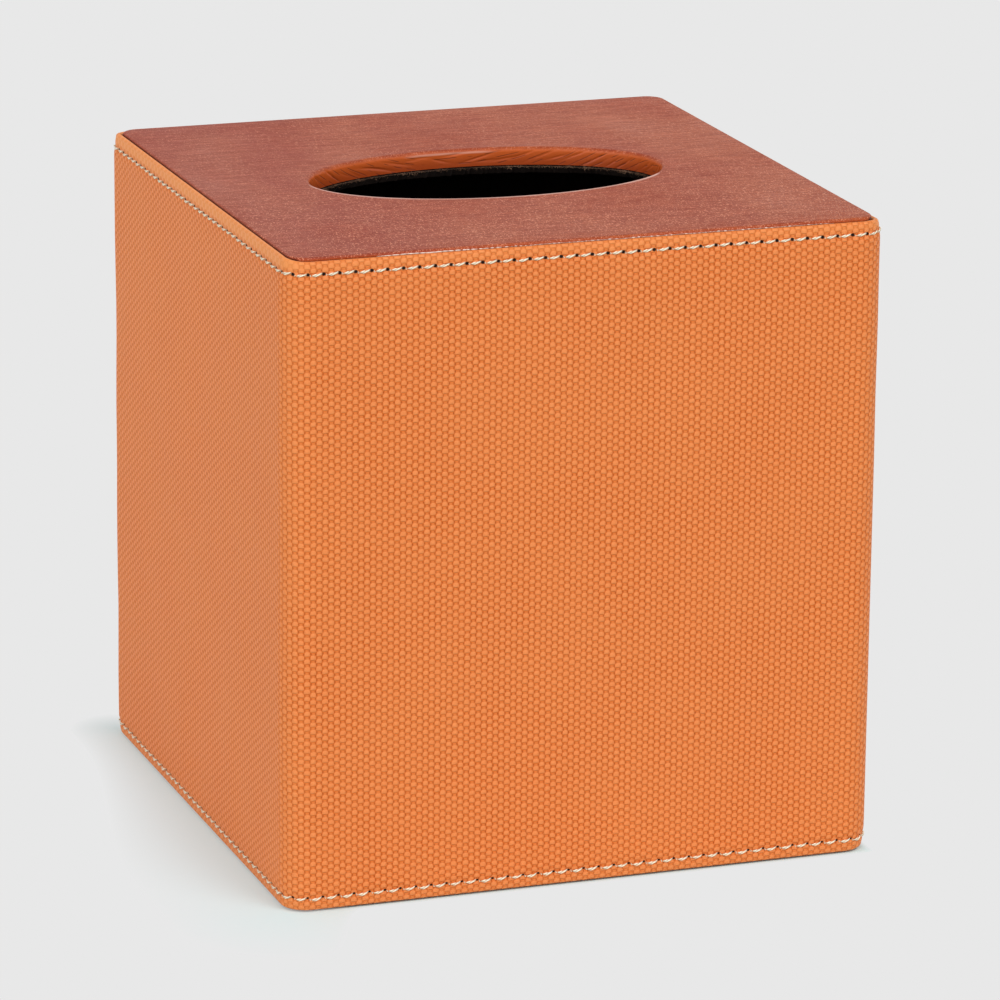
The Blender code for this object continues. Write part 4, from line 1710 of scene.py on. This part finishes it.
@dataclass
class Flap:
    """The flap's leatherette, turned over the edges of its board, and the velvet laid on it."""

    low: Vector
    high: Vector
    corner_radius: float = 3 * MM
    notch_radius: float = 9 * MM
    sheet: float = 0.66 * MM
    edge_radius: float = 0.9 * MM
    turn_in: float = 3 * MM
    skived: float = 0.25 * MM
    core: float = 0.68
    nap_depth: float = 0.04 * MM
    nap_waves: float = 7 * MM
    flat_rows: int = 10
    arc_steps: int = 12

    def ring(self, inset: float) -> Array:
        """Points round the flap at that inset, from its front right corner by way of the back.

        Args:
            inset: How far inside the flap's outline the ring runs.

        Returns:
            X and Y of each point.
        """
        half, back = self.high.x - inset, self.high.y - inset
        radius = max(self.corner_radius - inset, self.skived)
        corners = [((half - radius, radius - half), -1), ((half - radius, back - radius), 0),
                   ((radius - half, back - radius), 1), ((radius - half, radius - half), 2)]
        arcs = [bow(centre, radius, start, start + 1, self.arc_steps) for centre, start in corners]
        arcs.append(bow((0.0, -half), self.notch_radius + inset, 2, 0, self.arc_steps))
        points = []
        for bend, after in zip(arcs, arcs[1:] + arcs[:1]):
            points += [bend, np.linspace(bend[-1], after[0], self.arc_steps + 1)[1:-1]]
        return np.concatenate(points)

    def middle_of(self, ring: Array) -> Array:
        """The same ring drawn in to the flap's middle part, where it has no notch.

        Args:
            ring: X and Y of its points.

        Returns:
            X and Y of the same points, drawn in.
        """
        x, y = ring.T
        reach = self.core * self.high.x
        away = ease(abs(x), self.notch_radius * 1.4, reach)
        drawn_y = np.clip(y, -reach, reach) * (1 - away) + self.core * y * away
        return np.column_stack([x * (1 - (1 - self.core) * away), drawn_y])

    def lay(self, name: str, section: list, face_up: bool) -> Piece:
        """Lay a sheet over the flap's middle and along a section at its edge.

        Args:
            name: The piece's name.
            section: Inset and height of each row, from the flat part outwards.
            face_up: Whether the sheet's face is up.

        Returns:
            The sheet.
        """
        rings = [self.ring(inset) for inset, _ in section]
        middle = self.middle_of(rings[0])
        half = self.flat_rows // 2
        layers = [middle * share for share in (0.0, *runs(0, 1, half))]
        layers += [middle + (rings[0] - middle) * share for share in runs(0, 1, half)]
        heights = [section[0][1]] * len(layers) + [z for _, z in section[1:]]
        layers += rings[1:]
        table = np.array([np.column_stack([layer, np.full(len(layer), z)])
                          for layer, z in zip(layers, heights)])
        if face_up:
            table = table[::-1]
        count = table.shape[1]
        return lay_sheet(name, count, len(table) - 1,
                         lambda column, row: table[row.astype(int), column.astype(int) % count], joined=True)

    def build_cover(self, finish: Material) -> None:
        """The leatherette: flat underneath, up round the edges and over onto the board.

        Args:
            finish: The cover's material.
        """
        edge, skived = self.edge_radius, self.skived
        section = bow((edge, self.low.z + edge), edge, 3, 2, 5)
        section += [(0.0, z) for z in runs(self.low.z + edge, self.high.z - skived, 3)]
        section += bow((skived, self.high.z), skived, 2, 1, 3)[1:]
        section += [(inset, self.high.z + skived) for inset in runs(skived, self.turn_in, 2)]
        piece = self.lay("folded_flap_cover", section, face_up=False)
        rise = coordinates(piece)[:, 2] - self.low.z
        # Lighter on the bend: stretch, with painted light.
        mark(piece, ease(rise, 0.05 * MM, 0.5 * MM) * (1 - ease(rise, 0.8 * MM, 1.6 * MM)) * 0.4)
        settle(piece, finish, Body.FLAP, "smooth_leatherette", "flap_cover", thickness=self.sheet, degrees=50)

    def build_lining(self, velvet: Material) -> None:
        """The velvet that the box of tissues stands on.

        Args:
            velvet: The lining's material.
        """
        low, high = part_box("flap_lining")
        margin, rounding = self.high.x - high.x, (high.z - low.z) * 0.4
        section = bow((margin + rounding, high.z - rounding), rounding, 1, 2, 4)
        section += [(margin, low.z)]
        piece = self.lay("flap_velvet", section, face_up=True)
        thicken(piece, high.z - low.z - rounding)
        roughen(piece, self.nap_depth, self.nap_waves, 67)
        settle(piece, velvet, Body.FLAP, "velvet", "flap_lining", degrees=50)


@dataclass
class HingeStrip:
    """The one strip of leatherette that joins the flap to the back wall and bends at the fold."""

    half_width: float
    sheet: float = 0.66 * MM
    columns: int = 60
    bend_radius: float = 1.3 * MM
    jog: float = 0.15 * MM
    jog_heights: tuple[float, ...] = (6.9 * MM, 6.5 * MM, 5.6 * MM, 5.2 * MM, 3.6 * MM)

    def build(self, finish: Material) -> None:
        """Lay the strip from behind the back liner, round the fold and under the flap.

        Args:
            finish: The strip's material.
        """
        wall_low, wall_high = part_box("wall_hinge_leaf")
        leaf_low, leaf_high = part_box("flap_hinge_leaf")
        back_y = wall_high.y
        front_y = wall_low.y + self.sheet
        foot_z = leaf_low.z
        radius = self.bend_radius
        path = [(back_y, wall_high.z), (back_y, wall_high.z * 0.7)]
        path += zip((back_y, back_y - self.jog, front_y + self.jog, front_y, front_y), self.jog_heights)
        centre = (front_y - radius, foot_z + radius)
        path += [(centre[0] + radius * math.cos(a), centre[1] - radius * math.sin(a))
                 for a in [QUARTER * step / 8 for step in range(9)]]
        path += [(y, foot_z) for y in runs(centre[0], leaf_low.y, 8)]
        table = np.array(path[::-1])

        def place(column: Array, row: Array) -> Array:
            """Where a point of the strip lies.

            Args:
                column: The column number of each point.
                row: Its row number.

            Returns:
                X, Y and Z of each point.
            """
            x = (column / self.columns * 2 - 1) * self.half_width
            y, z = table[row.astype(int)].T
            return np.column_stack([x, y, z])

        piece = lay_sheet("hinge_strip", self.columns, len(table) - 1, place)
        # Lighter on the bend: stretch, with painted light.
        mark(piece, np.exp(-(((coordinates(piece)[:, 2] - 1.2 * MM) / (1.6 * MM)) ** 2)) * 0.5)
        edit_all(bpy.ops.mesh.flip_normals)
        thicken(piece, self.sheet)
        smooth(piece, 50)
        centre[1]
        centre[0]
        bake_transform(piece)
        settle(piece, finish, None, "smooth_leatherette", "wall_hinge_leaf", "flap_hinge_leaf")


@dataclass
class Studio:
    """A plain pale floor, soft light and the camera at the photograph's angle."""

    azimuth: float = 19.646
    elevation: float = 15.919
    roll: float = 0.569
    place: tuple[float, float, float] = (-0.41524, -1.17399, 0.42261)
    lens: float = 209.84
    floor_size: float = 8.0
    footprint: float = 66 * MM
    opening: float = 62 * MM
    shade_reach: float = 24 * MM
    contact_reach: float = 1.6 * MM
    shade_lift: float = 0.30
    backdrop: Colour = tone(232, 232, 232)
    floor_colour: Colour = tone(225, 250, 252)
    world_strength: float = 0.45
    key_strength: float = 1.20
    fill_strength: float = 1.15
    key_from: tuple[float, float, float] = (0.45, -0.75, 0.85)
    fill_from: tuple[float, float, float] = (-0.80, -0.50, 0.50)
    clip: tuple[float, float] = (0.05, 50)

    def build(self) -> None:
        """Set the stage."""
        self.add_camera()
        self.add_floor()
        self.add_world()
        self.add_sun("key", self.key_from, self.key_strength, 35)
        self.add_sun("fill", self.fill_from, self.fill_strength, 60)
        bpy.context.scene.view_settings.view_transform = "Standard"

    def add_camera(self) -> None:
        """Stand the camera where the photograph was taken from."""
        around, above, tilt = (math.radians(angle) for angle in (self.azimuth, self.elevation, self.roll))
        forward = Vector((math.sin(around) * math.cos(above), math.cos(around) * math.cos(above),
                          -math.sin(above)))
        level = forward.cross(Vector((0, 0, 1))).normalized()
        upright = level.cross(forward)
        right = level * math.cos(tilt) + upright * math.sin(tilt)
        up = upright * math.cos(tilt) - level * math.sin(tilt)
        turn = Matrix((right, up, -forward)).transposed().to_4x4()
        data = bpy.data.cameras.new("camera")
        data.lens = self.lens
        data.clip_start, data.clip_end = self.clip
        camera = bpy.data.objects.new("camera", data)
        camera.matrix_world = Matrix.Translation(self.place) @ turn
        bpy.context.scene.collection.objects.link(camera)
        bpy.context.scene.camera = camera

    def seen_directly(self, graph: Graph) -> Wire:
        """1 where the camera, a mirror or glass looks straight at a surface.

        Args:
            graph: Writes the nodes of the floor or the world.

        Returns:
            1 or 0, as a wire.
        """
        path = graph.node("ShaderNodeLightPath").outputs
        camera, glossy, through = (Wire(graph, path[f"Is {kind} Ray"])
                                   for kind in ("Camera", "Glossy", "Transmission"))
        return camera.most(glossy).most(through)

    def either(self, share: Wire, first: Wire, second: Wire) -> Wire:
        """One shader or the other."""
        return share.graph.wire("ShaderNodeMixShader", 0, {0: share, 1: first, 2: second})

    def add_floor(self) -> None:
        """A floor that keeps the cover's shadow and fades into the plain backdrop.

        It is clear from below, and under the cover, so that light reaches the flap there.
        """
        clear_selection()
        bpy.ops.mesh.primitive_plane_add(size=self.floor_size, location=(0, 0, 0))
        floor = bpy.context.object
        floor.name = "floor"
        material = bpy.data.materials.new("pale_floor")
        material.use_nodes = True
        graph = Graph(material.node_tree)
        material.node_tree.nodes.remove(material.node_tree.nodes["Principled BSDF"])
        x, y, _ = graph.axes(graph.place())
        beyond_x, beyond_y = ((abs(way) - self.footprint).most(0.0) for way in (x, y))
        gap = (beyond_x * beyond_x + beyond_y * beyond_y) ** 0.5
        shade_side = x.step(-0.050, -0.066)
        reach = shade_side * self.shade_reach * (y.step(0.06, -0.04) * 0.6 + 0.4) + self.contact_reach
        shadow = (1.0 - gap / reach).most(0.0) * (1.0 - shade_side * self.shade_lift)
        plain = graph.wire("ShaderNodeBsdfDiffuse", 0, {"Color": self.floor_colour})
        glow = graph.wire("ShaderNodeEmission", 0, {"Color": self.backdrop, "Strength": 1.0})
        clear = graph.wire("ShaderNodeBsdfTransparent", 0)
        under = graph.math("LESS_THAN", abs(x).most(abs(y)), self.opening)
        below = graph.wire("ShaderNodeNewGeometry", "Backfacing").most(under)
        shown = self.either(self.seen_directly(graph), plain, self.either(shadow, glow, plain))
        graph.feed(material.node_tree.nodes["Material Output"], {"Surface": self.either(below, shown, clear)})
        dress(floor, material)

    def add_world(self) -> None:
        """Even light from all round, with the backdrop's colour where it is seen."""
        world = bpy.data.worlds.new("studio")
        bpy.context.scene.world = world
        world.use_nodes = True
        graph = Graph(world.node_tree)
        colour = graph.blend(self.seen_directly(graph), (self.world_strength,) * 3 + (1.0,), self.backdrop)
        graph.feed(world.node_tree.nodes["Background"], {"Strength": 1.0, "Color": colour})

    def add_sun(self, name: str, towards: Sequence[float], strength: float, spread: float) -> None:
        """One broad lamp.

        Args:
            name: The lamp's name.
            towards: The way from the cover to the lamp.
            strength: How bright it is.
            spread: How wide it looks, in degrees.
        """
        data = bpy.data.lights.new(name, "SUN")
        data.energy = strength
        data.angle = math.radians(spread)
        lamp = bpy.data.objects.new(name, data)
        lamp.rotation_euler = Vector(towards).to_track_quat("Z", "Y").to_euler()
        bpy.context.scene.collection.objects.link(lamp)


def dress_nodes(materials: dict[str, Material]) -> None:
    """Put the fine finishes on the model's own rigid pieces, by a word in their names.

    Args:
        materials: The finish that goes with each word.
    """
    for name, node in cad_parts.items():
        for word, material in materials.items():
            if word in name:
                dress(node, material)


def main() -> None:
    """Make every piece, dress it and set the stage."""
    logging.basicConfig(level=logging.INFO, format="%(name)s: %(message)s")
    for make in (make_weave_emboss, make_awl_holes, make_leather_grain, make_streaks, make_creases, make_nap):
        make()
    sleeve = Sleeve(*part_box("sleeve"))
    embossed = EmbossedLeatherette(
        "embossed_leatherette_fine", tone(245, 141, 77), 0.52, shaded_ground=tone(221, 102, 20),
        thread=tone(233, 122, 54), pit=tone(164, 56, 0), edge=tone(247, 156, 86), hole=tone(24, 10, 6),
        column=1.31 * MM, row=1.63 * MM, depth=0.22 * MM, pitch=sleeve.pitch, upper_row=sleeve.upper_way,
        lower_row=sleeve.lower_way, awl=0.35 * MM, lower_awl_share=0.72)
    smooth_skin = SmoothLeatherette(
        "smooth_leatherette_fine", tone(176, 78, 26), 0.50, sparkle_highlight=tone(226, 148, 116), dark=tone(132, 40, 12),
        cloudy_and_left_shade=tone(158, 60, 32), bend=tone(218, 101, 42), gap=tone(86, 26, 8), glint=tone(250, 214, 200),
        depth=0.06 * MM, streaks=0.50)
    velvet = Velvet("velvet_fine", tone(26, 20, 18), 0.9, crest=tone(56, 45, 39), size=0.30 * MM,
                    depth=0.12 * MM).material()
    # The cut fibres' paler colour is partly their own and partly painted light on the lit top of the cut
    # edge.
    cut_velvet = Velvet("velvet_cut_edge", tone(84, 62, 48), 0.9, crest=tone(176, 140, 114), size=0.2 * MM,
                        depth=0.05 * MM, patchy=0.5)
    # The groove colour is painted shade between the thread's plies.
    thread = Thread("waxed_thread", tone(255, 248, 222), 0.40, groove=tone(186, 122, 74), depth=0.03 * MM)
    smooth_leatherette = smooth_skin.material()
    board = Board("fibreboard_fine", tone(176, 148, 112), 0.9, fleck=tone(128, 100, 70)).material()
    plate = NickelPlate("nickel_plate_fine", tone(222, 220, 214), 0.22,
                        scratch=tone(170, 168, 162)).material()
    foam = Foam("foam_fine", tone(226, 220, 208), 0.95, cell=tone(178, 170, 154)).material()
    glue_and_highlight = GlueAndHighlight("dried_glue_and_highlight", tone(252, 236, 226), 0.35, bubble=tone(238, 196, 172))
    sleeve.build(embossed.material())
    Stitching(sleeve).build(thread.material())
    skin_low, skin_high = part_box("top_skin")
    lip_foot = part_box("top_board")[0].z
    TopPanel(skin_low, skin_high, lip_foot, Oval(40 * MM, 23.25 * MM)).build(smooth_leatherette)
    # Dried glue at the joint's left end, running on as a painted highlight along the fold.
    GlueAndHighlightLine(-(skin_high.y + 0.18 * MM), sleeve.high.z - 0.02 * MM).build(glue_and_highlight.material())
    MouthLining(*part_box("top_lining"), Oval(39.3 * MM, 22.55 * MM)).build(velvet, cut_velvet.material())
    interior = Interior()
    interior.build_liners(velvet)
    interior.build_foam(foam)
    HingeStrip(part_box("flap_hinge_leaf")[1].x).build(smooth_leatherette)
    inner_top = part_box("back_liner")[0].z - 1 * MM
    FootBinding(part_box("foot_binding")[1], inner_top).build(smooth_leatherette)
    flap = Flap(*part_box("flap_cover"))
    flap.build_cover(smooth_leatherette)
    flap.build_lining(velvet)
    dress_nodes({"board": board, "magnet": plate})
    Studio().build()


if __name__ == "__main__":
    main()
